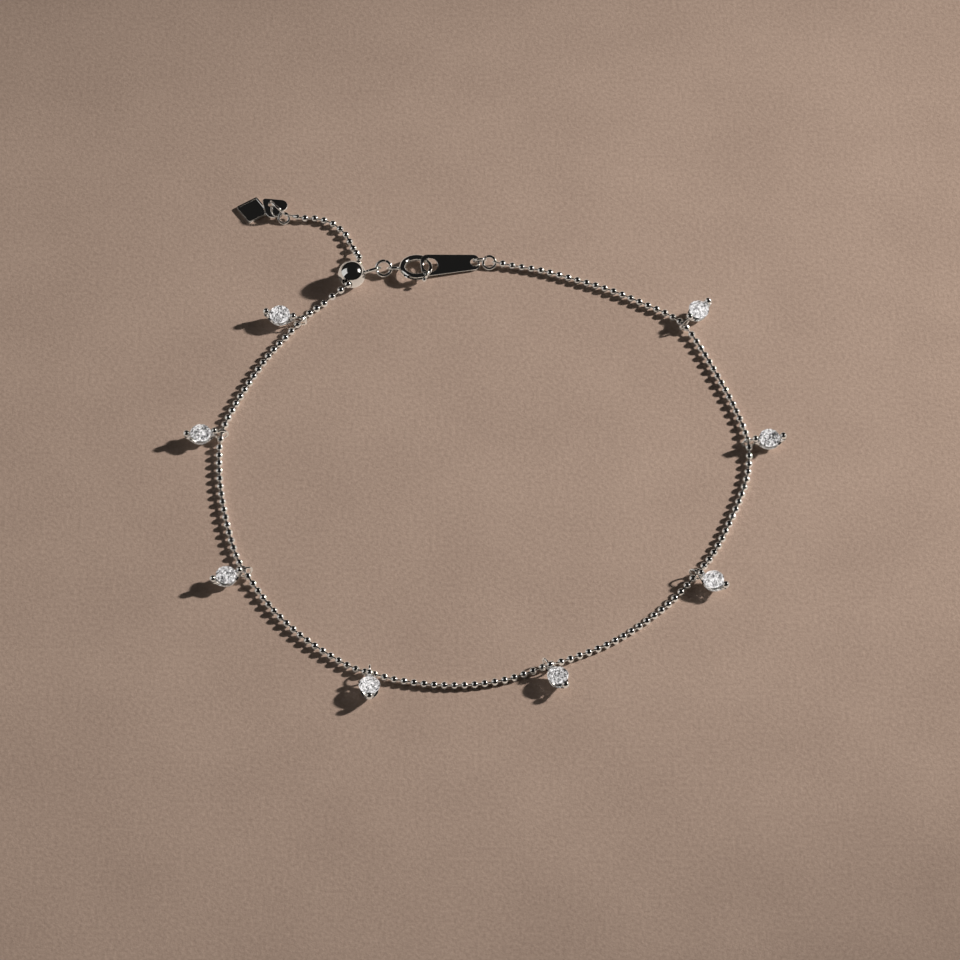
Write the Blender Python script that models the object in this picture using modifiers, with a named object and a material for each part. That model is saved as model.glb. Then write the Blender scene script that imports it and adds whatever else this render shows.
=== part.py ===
"""An anklet of polished white metal, lying in a loop on a surface.

A fine bead chain carries eight small drops, each a cut stone in a two-prong cup on a wire bail. The chain
runs through a sliding ball, which is clasped by a spring ring to a tapered plate at the chain's other end.
The tail that comes out of the ball ends in a heart tag and a square tag. Metres, +Z up, the surface at z = 0.
"""

import math

import bmesh
import bpy
import numpy as np
from mathutils import Matrix, Vector

MM = 0.001

# Clearances between pieces
LINK_PLAY = 0.15 * MM
SOLDER = 0.3 * MM
FLOOR_GAP = 0.02 * MM

# Bead chain
BEAD_DIAMETER = 1.0 * MM
BEAD_BELT = 0.4 * MM
BEAD_PITCH = 1.45 * MM
LINK_WIRE = 0.3 * MM
CHAIN_BEVEL = 3
EYELET_OUTER = 1.26 * MM
EYELET_WIRE = 0.26 * MM
EYELET_SINK = 0.09 * MM
END_CAP_WIDE = 0.84 * MM
END_CAP_NARROW = 0.4 * MM
END_CAP_LENGTH = 1.0 * MM
RISE_LENGTH = 4.5 * MM
BAIL_RISE_LENGTH = 4.0 * MM

# Drops: stone, cup, prongs and bail
STONE_DIAMETER = 3.5 * MM
STONE_TABLE = 2.0 * MM
STONE_CROWN = 0.5 * MM
STONE_GIRDLE = 0.1 * MM
STONE_PAVILION = 1.45 * MM
STONE_CLEARANCE = 0.15 * MM
CULET_HEIGHT = 0.5 * MM
CUP_BASE = 1.2 * MM
CUP_FOOT = 0.25 * MM
CUP_RIM = 4.3 * MM
CUP_RIM_HEIGHT = 1.75 * MM
SCOOP_RADIUS = 2.2 * MM
SCOOP_BOTTOM = 0.85 * MM
PRONG_TIP = 1.0 * MM
PRONG_TIP_SINK = 0.1 * MM
BAIL_OUTER = 2.2 * MM
BAIL_WIRE = 0.3 * MM
BAIL_SOLDER = 0.2 * MM
BAIL_CLEARANCE = 0.3 * MM

# Sliding ball and its soldered ring
BALL_DIAMETER = 4.1 * MM
BALL_BORE = 1.6 * MM
BALL_STRAIGHT_RUN = 5.33 * MM
BALL_RING_OUTER = 3.0 * MM
CLASP_WIRE = 0.4 * MM
JUMP_RING_OUTER = 2.75 * MM

# Spring ring, its loop and its sprung bolt
SPRING_OUTER = 5.2 * MM
SPRING_TUBE = 0.98 * MM
SPRING_CHANNEL = 0.68 * MM
SPRING_LOOP_OUTER = 2.2 * MM
SPRING_TILT = math.radians(-8)
BOLT_WIRE = 0.4 * MM
KNOB_DIAMETER = 0.64 * MM
KNOB_PIN = 0.36 * MM
SLOT_WIDTH = 0.6 * MM
SLOT_SINK = 0.12 * MM
KNOB_CLEARANCE = 0.05 * MM
GATE_START = math.radians(-50)
GATE_END = math.radians(50)
KNOB_ANGLE = math.radians(-67)
BOLT_TAIL = math.radians(-85)
BOLT_TIP = math.radians(57)
BOLT_TRAVEL = math.radians(65)
ANGLE_CLEARANCE = math.radians(5)

# Clasp plate and the rings that join it to the chain
PLATE_THICKNESS = 0.35 * MM
PLATE_WIDE = 3.6 * MM
PLATE_NARROW = 2.3 * MM
PLATE_WIDE_CORNER = 1.1 * MM
PLATE_NARROW_CORNER = 0.8 * MM
PLATE_BIG_HOLE = 2.2 * MM
PLATE_SMALL_HOLE = 1.1 * MM
PLATE_HOLE_SPACING = 6.6 * MM
PLATE_LEFT_END = 1.45 * MM
PLATE_RIGHT_END = 0.8 * MM
PLATE_HEADING = math.radians(7)
PLATE_PITCH = math.radians(2.6)
PLATE_ROLL = math.radians(19)
GATE_HOLE_ANGLE = math.radians(12)
PLATE_RING_OUTER = 2.2 * MM
PLATE_RING_WIRE = 0.3 * MM
PLATE_RING_LEAN = math.radians(30)
PLATE_RING_FORWARD = 0.85 * MM
PLATE_RING_RISE = 0.4 * MM
END_RING_OUTER = 2.35 * MM
END_RING_WIRE = 0.35 * MM

# Tail rings and tags
TAIL_RING_OUTER = 2.0 * MM
TAIL_WIRE = 0.3 * MM
TAIL_EYELET_ANGLE = math.radians(30)
HEART_RING_ANGLE = math.radians(110)
HEART_RING_OUTER = 3.2 * MM
HEART_RING_HEADING = math.radians(-50)
HEART_LOBE = 2.0 * MM
HEART_LOBE_SPACING = 1.9 * MM
HEART_TIP = 2.9 * MM
HEART_HOLE = 0.9 * MM
HEART_HOLE_ALONG = 1.1 * MM
HEART_HEADING = math.radians(135)
HEART_HEIGHT = 0.98 * MM
TAG_THICKNESS = 0.35 * MM
SQUARE_SIDE = 3.6 * MM
SQUARE_CORNER = 0.3 * MM
SQUARE_THICKNESS = 0.5 * MM
SQUARE_RIM = 0.25 * MM
SQUARE_RECESS = 0.12 * MM
SQUARE_HEADING = math.radians(33.5)
TONGUE_DIAMETER = 1.7 * MM
TONGUE_HOLE = 1.1 * MM
TONGUE_THICKNESS = 0.3 * MM
STRAP_THICKNESS = 0.27 * MM
TONGUE_HEIGHT = 0.45 * MM

# The open rings lean back this far from lying flat, as they hang together on the surface
RING_LEAN = math.radians(38.5)

# Places on the surface
SPRING_RING_PLACE = (-9.5 * MM, 39.85 * MM)
SPRING_RING_LIFT = 0.3 * MM
SPRING_LOOP_HEADING = math.radians(183.5)
BALL_HEADING = math.radians(202)
JUMP_RING_HEIGHT = 1.2 * MM
BALL_RING_HEIGHT = 1.6 * MM
BORE_HEADING = math.radians(67.5)
END_RING_HEADING = math.radians(-8)
TAIL_RING_PLACE = (-29.55 * MM, 49.85 * MM)
SQUARE_PLACE = (-34.27 * MM, 51.8 * MM)

# Route of the chain from its first eyelet to the ball, seen from above, chosen by hand (millimetres)
CHAIN_ROUTE = [
    (8.8, 39.7), (14.3, 37.8), (19.6, 35.7), (24.8, 32.9), (28.4, 30.7), (31.2, 27.5), (33.2, 23.6),
    (35.5, 18.3), (37.6, 12.9), (39.2, 7.4), (39.4, 3.1), (38.7, -1.3), (36.9, -6.8), (34.1, -13.5),
    (31.1, -18.3), (27.3, -23.1), (23.2, -27.0), (18.6, -30.4), (13.3, -33.0), (8.0, -35.2), (4.0, -36.8),
    (-0.3, -37.7), (-4.7, -37.9), (-9.0, -37.5), (-13.2, -36.6), (-17.4, -35.2), (-21.0, -32.9),
    (-25.5, -29.2), (-29.4, -24.8), (-32.0, -20.9), (-34.7, -16.1), (-36.4, -10.4), (-37.7, -3.3),
    (-38.2, 2.5), (-38.1, 6.9), (-37.3, 10.5), (-35.2, 15.6), (-31.9, 22.1), (-28.6, 27.0), (-24.5, 32.1),
]

# Route of the tail from the ball to its end, chosen by hand (millimetres)
TAIL_ROUTE = [
    (-18.6, 42.3), (-19.4, 44.9), (-20.8, 47.2), (-22.6, 48.9), (-24.9, 49.7), (-26.9, 49.9),
]

# Each drop: the place of its bail on the chain (millimetres), the way that its stone points, and how far it
# rolls about that way (degrees)
DROPS = [
    {"name": "1", "x": -26.8, "y": 29.4, "heading": 167, "roll": -10},
    {"name": "2", "x": -37.9, "y": 7.9, "heading": -173, "roll": -5},
    {"name": "3", "x": -33.7, "y": -18.0, "heading": -157, "roll": -5},
    {"name": "4", "x": -15.5, "y": -36.0, "heading": -90, "roll": 0},
    {"name": "5", "x": 9.8, "y": -34.4, "heading": -58, "roll": 3},
    {"name": "6", "x": 31.1, "y": -18.3, "heading": -31, "roll": 5},
    {"name": "7", "x": 39.5, "y": 5.9, "heading": 8, "roll": 9},
    {"name": "8", "x": 30.1, "y": 29.0, "heading": 47, "roll": 12},
]

# Sides of the round shapes
STONE_SIDES = 16
CUP_SIDES = 12
SEAT_SIDES = 12
SCOOP_SIDES = 12
TIP_SIDES = 10
TIP_ROWS = 4
RING_SIDES = 12
BAIL_SIDES = 10
WIRE_SIDES = 5
TUBE_BEVEL = 3
BOLT_BEVEL = 2
BALL_SIDES = 16
BALL_ROWS = 10
HOLE_SIDES = 12
ARC_STEP = math.radians(20)

UP = Vector((0, 0, 1))


def clear_scene():
    for thing in list(bpy.data.objects):
        bpy.data.objects.remove(thing)


def new_collection(name):
    collection = bpy.data.collections.new(name)
    bpy.context.scene.collection.children.link(collection)
    return collection


def make_material(name, colour, roughness, metallic, transmission=0.0, ior=1.5):
    material = bpy.data.materials.new(name)
    material.use_nodes = True
    shader = material.node_tree.nodes["Principled BSDF"]
    shader.inputs["Base Color"].default_value = (*colour, 1)
    shader.inputs["Roughness"].default_value = roughness
    shader.inputs["Metallic"].default_value = metallic
    shader.inputs["Transmission Weight"].default_value = transmission
    shader.inputs["IOR"].default_value = ior
    material.diffuse_color = (*colour, 1)
    return material


def move_to(thing, collection):
    for old in list(thing.users_collection):
        old.objects.unlink(thing)
    collection.objects.link(thing)
    return thing


def finish(thing, name, material, matrix=None):
    """Names a piece, gives it its metal or glass and its place, and puts it with the parts."""
    thing.name = name
    thing.data.name = name
    thing.data.materials.clear()
    thing.data.materials.append(material)
    if matrix is not None:
        thing.matrix_world = matrix
    if thing.type == "MESH":
        thing.data.shade_smooth()
        thing.data.set_sharp_from_angle(angle=math.radians(40))
    return move_to(thing, PARTS)


def mesh_object(name, shape):
    """An object from a bmesh, which is freed."""
    bmesh.ops.recalc_face_normals(shape, faces=shape.faces)
    mesh = bpy.data.meshes.new(name)
    shape.to_mesh(mesh)
    shape.free()
    thing = bpy.data.objects.new(name, mesh)
    CUTTERS.objects.link(thing)
    return thing


def as_mesh(thing):
    """The object's evaluated shape as a plain mesh object with its place in its mesh."""
    bpy.context.view_layer.update()
    evaluated = thing.evaluated_get(bpy.context.evaluated_depsgraph_get())
    mesh = bpy.data.meshes.new_from_object(evaluated)
    mesh.transform(thing.matrix_world)
    shape = bmesh.new()
    shape.from_mesh(mesh)
    bmesh.ops.remove_doubles(shape, verts=shape.verts, dist=1e-7)
    name = thing.name
    bpy.data.objects.remove(thing)
    return mesh_object(name, shape)


def combine(base, others, operation):
    """Joins the other meshes to the base or cuts them from it, and removes them."""
    for other in others:
        step = base.modifiers.new(operation.title(), "BOOLEAN")
        step.operation = operation
        step.object = other
        step.solver = "EXACT"
    result = as_mesh(base)
    for other in others:
        bpy.data.objects.remove(other)
    return result


def ball(name, diameter, sides, rows, matrix):
    shape = bmesh.new()
    bmesh.ops.create_uvsphere(
        shape, u_segments=sides, v_segments=rows, radius=diameter / 2, matrix=matrix
    )
    return mesh_object(name, shape)


def rod(name, diameter, length, sides, matrix):
    """A cylinder centred on the matrix's origin, along its Z."""
    shape = bmesh.new()
    bmesh.ops.create_cone(
        shape, cap_ends=True, segments=sides, radius1=diameter / 2, radius2=diameter / 2, depth=length,
        matrix=matrix,
    )
    return mesh_object(name, shape)


def block(name, size, matrix):
    shape = bmesh.new()
    bmesh.ops.create_cube(shape, size=1.0, matrix=matrix @ Matrix.Diagonal((*size, 1)))
    return mesh_object(name, shape)


def facing(centre, normal, along):
    """A matrix at centre with Z on normal and X near along."""
    z_axis = normal.normalized()
    y_axis = z_axis.cross(along).normalized()
    x_axis = y_axis.cross(z_axis)
    turn = Matrix((x_axis, y_axis, z_axis)).transposed().to_4x4()
    return Matrix.Translation(centre) @ turn


def wire_ring(name, outer, wire, matrix, sides=RING_SIDES):
    """A closed ring of round wire in the matrix's XY plane, as a mesh in place."""
    bpy.ops.mesh.primitive_torus_add(
        major_segments=sides, minor_segments=WIRE_SIDES,
        major_radius=(outer - wire) / 2, minor_radius=wire / 2,
    )
    ring = bpy.context.object
    ring.name = name
    ring.matrix_world = matrix
    return as_mesh(ring)


def swept(name, points, radii, bevel):
    """A round bar through the points, with a radius at each, as a closed mesh."""
    curve = bpy.data.curves.new(name, "CURVE")
    curve.dimensions = "3D"
    curve.bevel_depth = max(radii)
    curve.bevel_resolution = bevel
    curve.use_fill_caps = True
    spline = curve.splines.new("POLY")
    spline.points.add(len(points) - 1)
    for spot, place, radius in zip(spline.points, points, radii):
        spot.co = (*place, 1)
        spot.radius = radius / max(radii)
    thing = bpy.data.objects.new(name, curve)
    CUTTERS.objects.link(thing)
    return as_mesh(thing)


def arc_points(radius, start, end):
    """Points on a circle about Z from one angle to another."""
    count = max(2, math.ceil((end - start) / ARC_STEP) + 1)
    return [polar(angle, radius) for angle in np.linspace(start, end, count)]


def arc_bar(name, radius, start, end, thickness, bevel, matrix):
    points = [matrix @ point for point in arc_points(radius, start, end)]
    return swept(name, points, [thickness / 2] * len(points), bevel)


def polar(angle, length, rise=0.0):
    return Vector((length * math.cos(angle), length * math.sin(angle), rise))


def flat_piece(name, outlines, thickness):
    """A flat solid about z = 0 from closed outlines, the outer edge first and then its holes."""
    curve = bpy.data.curves.new(name, "CURVE")
    curve.dimensions = "2D"
    curve.fill_mode = "BOTH"
    curve.extrude = thickness / 2
    for outline in outlines:
        spline = curve.splines.new("POLY")
        spline.points.add(len(outline) - 1)
        spline.use_cyclic_u = True
        for spot, place in zip(spline.points, outline):
            spot.co = (place[0], place[1], 0, 1)
    thing = bpy.data.objects.new(name, curve)
    CUTTERS.objects.link(thing)
    return as_mesh(thing)


def circle(x, y, diameter, sides=HOLE_SIDES):
    return [(x + p.x, y + p.y) for p in (polar(math.tau * i / sides, diameter / 2) for i in range(sides))]


def rounded(corners, steps=3):
    """A convex outline, counter-clockwise, with each (x, y, radius) corner rounded by an arc."""
    outline = []
    for index, (x, y, radius) in enumerate(corners):
        spot = Vector((x, y))
        before = (Vector(corners[index - 1][:2]) - spot).normalized()
        after = (Vector(corners[(index + 1) % len(corners)][:2]) - spot).normalized()
        half = before.angle(after) / 2
        centre = spot + (before + after).normalized() * radius / math.sin(half)
        start = spot + before * radius / math.tan(half) - centre
        turn = math.pi - 2 * half
        for step in range(steps + 1):
            outline.append(tuple(centre + Matrix.Rotation(turn * step / steps, 2) @ start))
    return outline


def linked(first_outer, first_wire, second_outer, second_wire):
    """Distance between the centres of two linked rings that hang nearly tight."""
    return (first_outer + second_outer) / 2 - first_wire - second_wire - LINK_PLAY


# Directions shared by the rings: the way that a leaning open ring faces, and its own uphill direction
FACE = Vector((0, -math.sin(RING_LEAN), math.cos(RING_LEAN)))
UPHILL = Vector((0, math.cos(RING_LEAN), math.sin(RING_LEAN)))


def edge_on(centre, heading):
    """Place of a ring that stands across the leaning rings, along a heading."""
    along = polar(heading, 1)
    return facing(centre, along.cross(FACE), along)


# The clasp's layout, worked out from the spring ring
SPRING_RADIUS = (SPRING_OUTER - SPRING_TUBE) / 2
SPRING_HEIGHT = SPRING_TUBE / 2 + SPRING_RADIUS * abs(math.sin(SPRING_TILT)) + SPRING_RING_LIFT
SPRING_TURN = Matrix.Rotation(SPRING_TILT, 4, "X")
SPRING_MATRIX = Matrix.Translation((*SPRING_RING_PLACE, SPRING_HEIGHT)) @ SPRING_TURN
SPRING_LOOP_CENTRE = SPRING_MATRIX.translation + polar(
    SPRING_LOOP_HEADING, (SPRING_OUTER + SPRING_LOOP_OUTER) / 2 - SOLDER
)
JUMP_RING_CENTRE = SPRING_LOOP_CENTRE + polar(
    SPRING_LOOP_HEADING,
    linked(SPRING_LOOP_OUTER, CLASP_WIRE, JUMP_RING_OUTER, CLASP_WIRE),
    JUMP_RING_HEIGHT - SPRING_HEIGHT,
)
BALL_RING_REACH = linked(JUMP_RING_OUTER, CLASP_WIRE, BALL_RING_OUTER, CLASP_WIRE)
BALL_RING_RISE = BALL_RING_HEIGHT - JUMP_RING_HEIGHT
BALL_RING_CENTRE = JUMP_RING_CENTRE + polar(
    BALL_HEADING, math.sqrt(BALL_RING_REACH**2 - BALL_RING_RISE**2), BALL_RING_RISE
)
BALL_OFFSET = (BALL_DIAMETER + BALL_RING_OUTER) / 2 - SOLDER
BALL_RISE = BALL_DIAMETER / 2 + FLOOR_GAP - BALL_RING_HEIGHT
BALL_CENTRE = BALL_RING_CENTRE + polar(BALL_HEADING, math.sqrt(BALL_OFFSET**2 - BALL_RISE**2), BALL_RISE)
BORE = polar(BORE_HEADING, 1)


def plate_matrix():
    hole = SPRING_MATRIX @ polar(GATE_HOLE_ANGLE, SPRING_RADIUS)
    turn = Matrix.Rotation(PLATE_HEADING, 4, "Z") @ Matrix.Rotation(PLATE_PITCH, 4, "Y")
    return Matrix.Translation(hole) @ turn @ Matrix.Rotation(PLATE_ROLL, 4, "X")


PLATE_RING_CENTRE = (
    plate_matrix() @ Vector((PLATE_HOLE_SPACING, 0, 0))
    + polar(PLATE_HEADING, PLATE_RING_FORWARD, PLATE_RING_RISE)
)
END_RING_RADIUS = (END_RING_OUTER - END_RING_WIRE) / 2
END_RING_HEIGHT = END_RING_WIRE / 2 + END_RING_RADIUS * UPHILL.z + FLOOR_GAP
END_RING_REACH = linked(PLATE_RING_OUTER, PLATE_RING_WIRE, END_RING_OUTER, END_RING_WIRE)
END_RING_FALL = END_RING_HEIGHT - PLATE_RING_CENTRE.z
END_RING_CENTRE = PLATE_RING_CENTRE + polar(
    END_RING_HEADING, math.sqrt(END_RING_REACH**2 - END_RING_FALL**2), END_RING_FALL
)
FIRST_EYELET = END_RING_CENTRE + Vector((END_RING_RADIUS, 0, 0))
TAIL_RING_RADIUS = (TAIL_RING_OUTER - TAIL_WIRE) / 2
TAIL_RING_CENTRE = Vector((*TAIL_RING_PLACE, TAIL_WIRE / 2 + TAIL_RING_RADIUS * UPHILL.z + FLOOR_GAP))


def on_tail_ring(angle):
    across = Vector((1, 0, 0))
    return TAIL_RING_CENTRE + TAIL_RING_RADIUS * (math.cos(angle) * across + math.sin(angle) * UPHILL)


LAST_EYELET = on_tail_ring(TAIL_EYELET_ANGLE)


def smooth_route(points, steps=14):
    """A smooth curve through the points, as close-set places."""
    spots = [Vector(point) for point in points]
    spots = [2 * spots[0] - spots[1], *spots, 2 * spots[-1] - spots[-2]]
    curve = []
    for before, start, end, after in zip(spots, spots[1:], spots[2:], spots[3:]):
        for step in range(steps):
            t = step / steps
            curve.append(
                0.5 * (2 * start + (end - before) * t + (2 * before - 5 * start + 4 * end - after) * t**2
                       + (3 * start - before - 3 * end + after) * t**3)
            )
    return [*curve, spots[-2]]


class Route:
    """The chain's path: its plan from a smooth curve, and its height where something holds it up."""

    def __init__(self):
        reach = BALL_STRAIGHT_RUN / 2
        ball_run = [BALL_CENTRE - BORE * reach, BALL_CENTRE, BALL_CENTRE + BORE * reach]
        plan = [FIRST_EYELET.xy]
        plan += [Vector(point) * MM for point in CHAIN_ROUTE]
        plan += [point.xy for point in ball_run]
        plan += [Vector(point) * MM for point in TAIL_ROUTE]
        plan.append(LAST_EYELET.xy)
        self.plan = np.array(smooth_route(plan))
        self.run = np.concatenate([[0], np.cumsum(np.hypot(*np.diff(self.plan, axis=0).T))])
        self.length = self.run[-1]
        self.holds = [
            (0.0, FIRST_EYELET.z, 0.0, BAIL_RISE_LENGTH),
            (self.nearest(BALL_CENTRE), BALL_CENTRE.z, reach, RISE_LENGTH),
            (self.length, LAST_EYELET.z, 0.0, BAIL_RISE_LENGTH),
        ]

    def nearest(self, place):
        gaps = np.hypot(self.plan[:, 0] - place.x, self.plan[:, 1] - place.y)
        return self.run[int(gaps.argmin())]

    def hold(self, run, height):
        """Raises the chain to a height at one place, as a bail's wire does."""
        self.holds.append((run, height, 0.0, BAIL_RISE_LENGTH))

    def at(self, run):
        x = np.interp(run, self.run, self.plan[:, 0])
        y = np.interp(run, self.run, self.plan[:, 1])
        radius = BEAD_DIAMETER / 2
        height = radius + FLOOR_GAP
        for place, top, flat, fall in self.holds:
            share = min(1.0, max(0.0, abs(run - place) - flat) / fall)
            height = max(height, radius + (top - radius) * (1 + math.cos(math.pi * share)) / 2)
        return Vector((x, y, height))


class Beads:
    """Where the beads lie along the route, evenly from eyelet to eyelet."""

    def __init__(self, route):
        self.first = (EYELET_OUTER + BEAD_DIAMETER) / 2 - EYELET_SINK
        self.cap = BEAD_PITCH - BEAD_DIAMETER / 2
        self.last = route.length - (EYELET_OUTER - EYELET_WIRE) / 2 - END_CAP_LENGTH - self.cap
        self.count = round((self.last - self.first) / BEAD_PITCH) + 1
        self.pitch = (self.last - self.first) / (self.count - 1)

    def centre(self, index):
        return self.first + self.pitch * index

    def gap_near(self, run):
        """Middle of the link between two beads that lies nearest to a place."""
        index = round((run - self.first) / self.pitch - 0.5)
        return self.centre(index) + self.pitch / 2


def build_chain(route, beads):
    stations = [((EYELET_OUTER - EYELET_WIRE) / 2, LINK_WIRE / 2)]
    for index in range(beads.count):
        centre = beads.centre(index)
        stations.append((centre - BEAD_BELT / 2, BEAD_DIAMETER / 2))
        stations.append((centre + BEAD_BELT / 2, BEAD_DIAMETER / 2))
        stations.append((centre + beads.pitch / 2, LINK_WIRE / 2))
    cap_start = beads.last + beads.cap
    stations.append((cap_start, END_CAP_WIDE / 2))
    stations.append((cap_start + END_CAP_LENGTH, END_CAP_NARROW / 2))
    points = [route.at(run) for run, radius in stations]
    radii = [radius for run, radius in stations]
    chain = swept("chain", points, radii, CHAIN_BEVEL)
    eyelets = []
    for centre, next_point in ((FIRST_EYELET, points[0]), (LAST_EYELET, points[-1])):
        along = next_point - centre
        along.z = 0
        heading = math.atan2(along.y, along.x)
        eyelets.append(wire_ring("eyelet", EYELET_OUTER, EYELET_WIRE, edge_on(centre, heading)))
    chain = combine(chain, eyelets, "UNION")
    return finish(chain, "chain", SILVER)


def turned(name, profile, sides):
    """A solid turned about Z from a profile of (radius, height), from the top down."""
    shape = bmesh.new()
    corners = [shape.verts.new((radius, 0, height)) for radius, height in profile]
    for upper, lower in zip(corners, corners[1:]):
        shape.edges.new((upper, lower))
    mesh = bpy.data.meshes.new(name)
    shape.to_mesh(mesh)
    shape.free()
    thing = bpy.data.objects.new(name, mesh)
    CUTTERS.objects.link(thing)
    screw = thing.modifiers.new("Screw", "SCREW")
    screw.steps = sides
    screw.render_steps = sides
    screw.use_merge_vertices = True
    screw.merge_threshold = 1e-6
    return as_mesh(thing)


GIRDLE_HEIGHT = CULET_HEIGHT + STONE_PAVILION
TABLE_HEIGHT = GIRDLE_HEIGHT + STONE_GIRDLE + STONE_CROWN
TIP_PLACE = (CUP_RIM - PRONG_TIP_SINK) / 2
TIP_HEIGHT = CUP_RIM_HEIGHT + PRONG_TIP / 2 - PRONG_TIP_SINK

# The bail's ring meets the inner prong tip, and its lowest point is at the surface
BAIL_TO_TIP = (BAIL_OUTER + PRONG_TIP) / 2 - BAIL_SOLDER
DROP_REACH = TIP_PLACE + math.sqrt(BAIL_TO_TIP**2 - (TIP_HEIGHT - BAIL_OUTER / 2) ** 2)


def stone_mesh():
    """A round stone with a table, sixteen-sided girdle and pointed pavilion, on the hull of its corners."""
    rows = [
        (STONE_TABLE / 2, TABLE_HEIGHT, 8),
        (STONE_DIAMETER / 2, GIRDLE_HEIGHT + STONE_GIRDLE, STONE_SIDES),
        (STONE_DIAMETER / 2, GIRDLE_HEIGHT, STONE_SIDES),
    ]
    shape = bmesh.new()
    shape.verts.new((0, 0, CULET_HEIGHT))
    for radius, height, sides in rows:
        for index in range(sides):
            shape.verts.new(polar(math.tau * index / sides, radius, height))
    bmesh.ops.convex_hull(shape, input=shape.verts)
    bmesh.ops.dissolve_limit(shape, angle_limit=math.radians(1), verts=shape.verts, edges=shape.edges)
    return mesh_object("stone", shape)


def seat_cutter():
    """The room that the stone needs in its cup and under its prong tips."""
    room = STONE_CLEARANCE
    return turned(
        "seat",
        [
            (0, TABLE_HEIGHT + room),
            (STONE_TABLE / 2 + room, TABLE_HEIGHT + room),
            (STONE_DIAMETER / 2 + room, GIRDLE_HEIGHT + STONE_GIRDLE + room),
            (STONE_DIAMETER / 2 + room, GIRDLE_HEIGHT - room),
            (0, CULET_HEIGHT - room),
        ],
        SEAT_SIDES,
    )


def setting_mesh():
    """Cup, two prong tips and bail of one drop, about the stone's axis, with the bail towards -X."""
    cup = turned(
        "cup",
        [
            (0, CUP_RIM_HEIGHT),
            (CUP_RIM / 2, CUP_RIM_HEIGHT),
            ((CUP_BASE + CUP_FOOT) / 2, CUP_FOOT),
            (CUP_BASE / 2, 0),
            (0, 0),
        ],
        CUP_SIDES,
    )
    on_side = Matrix.Rotation(math.pi / 2, 4, "X")
    scoop_place = Matrix.Translation((0, 0, SCOOP_BOTTOM + SCOOP_RADIUS)) @ on_side
    scoop = rod("scoop", 2 * SCOOP_RADIUS, 2 * CUP_RIM, SCOOP_SIDES, scoop_place)
    cup = combine(cup, [scoop], "DIFFERENCE")
    tips = []
    for side in (-1, 1):
        place = Matrix.Translation((side * TIP_PLACE, 0, TIP_HEIGHT)) @ Matrix.Rotation(math.pi / 2, 4, "Y")
        tips.append(ball("tip", PRONG_TIP, TIP_SIDES, TIP_ROWS, place))
    bail_place = Matrix.Translation((-DROP_REACH, 0, BAIL_OUTER / 2)) @ on_side
    bail = wire_ring("bail", BAIL_OUTER, BAIL_WIRE, bail_place, BAIL_SIDES)
    setting = combine(cup, [*tips, bail], "UNION")
    return combine(setting, [seat_cutter()], "DIFFERENCE")


def build_drops(route, beads):
    setting = setting_mesh()
    stone = stone_mesh()
    link_height = BAIL_WIRE + LINK_WIRE / 2 + BAIL_CLEARANCE
    for drop in DROPS:
        place = Vector((drop["x"] * MM, drop["y"] * MM, 0))
        roll = Matrix.Rotation(math.radians(drop["roll"]), 4, "X")
        lift = FLOOR_GAP - min((roll @ corner.co).z for corner in setting.data.vertices)
        run = beads.gap_near(route.nearest(place))
        route.hold(run, link_height + lift)
        bail = route.at(run)
        heading = math.radians(drop["heading"])
        axis = Vector((bail.x, bail.y, lift)) + polar(heading, DROP_REACH)
        matrix = Matrix.Translation(axis) @ Matrix.Rotation(heading, 4, "Z") @ roll
        for shape, kind, material in ((setting, "setting", SILVER), (stone, "stone", CRYSTAL)):
            piece = bpy.data.objects.new(kind, shape.data)
            CUTTERS.objects.link(piece)
            piece.matrix_world = matrix
            piece.name = kind + "_" + drop["name"]
            move_to(piece, PARTS)
            if not shape.data.materials:
                shape.data.materials.append(material)
    for shape in (setting, stone):
        bpy.data.objects.remove(shape)


def build_slider_ball():
    body = ball("ball", BALL_DIAMETER, BALL_SIDES, BALL_ROWS, Matrix.Translation(BALL_CENTRE))
    bore = rod("bore", BALL_BORE, 2 * BALL_DIAMETER, HOLE_SIDES, facing(BALL_CENTRE, BORE, UP))
    ring = wire_ring("ring", BALL_RING_OUTER, CLASP_WIRE, edge_on(BALL_RING_CENTRE, BALL_HEADING))
    body = combine(body, [ring], "UNION")
    body = combine(body, [bore], "DIFFERENCE")
    finish(body, "slider_ball", SILVER)


def build_spring_ring():
    tube = arc_bar(
        "tube", SPRING_RADIUS, GATE_END, math.tau + GATE_START, SPRING_TUBE, TUBE_BEVEL, SPRING_MATRIX
    )
    loop_place = edge_on(SPRING_LOOP_CENTRE, SPRING_LOOP_HEADING)
    loop = wire_ring("loop", SPRING_LOOP_OUTER, CLASP_WIRE, loop_place)
    channel = arc_bar(
        "channel", SPRING_RADIUS, BOLT_TAIL - BOLT_TRAVEL - ANGLE_CLEARANCE, GATE_START + ANGLE_CLEARANCE,
        SPRING_CHANNEL, BOLT_BEVEL, SPRING_MATRIX,
    )
    socket = arc_bar(
        "socket", SPRING_RADIUS, GATE_END - ANGLE_CLEARANCE, BOLT_TIP + ANGLE_CLEARANCE,
        SPRING_CHANNEL, BOLT_BEVEL, SPRING_MATRIX,
    )
    slot_end = SLOT_WIDTH / 2 / SPRING_RADIUS + ANGLE_CLEARANCE / 2
    slot = arc_bar(
        "slot", SPRING_OUTER / 2 - SLOT_SINK, KNOB_ANGLE - BOLT_TRAVEL - slot_end, KNOB_ANGLE + slot_end,
        SLOT_WIDTH, BOLT_BEVEL, SPRING_MATRIX,
    )
    ring = combine(tube, [loop], "UNION")
    ring = combine(ring, [channel, socket], "DIFFERENCE")
    ring = combine(ring, [slot], "DIFFERENCE")
    finish(ring, "spring_ring", SILVER)


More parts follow.
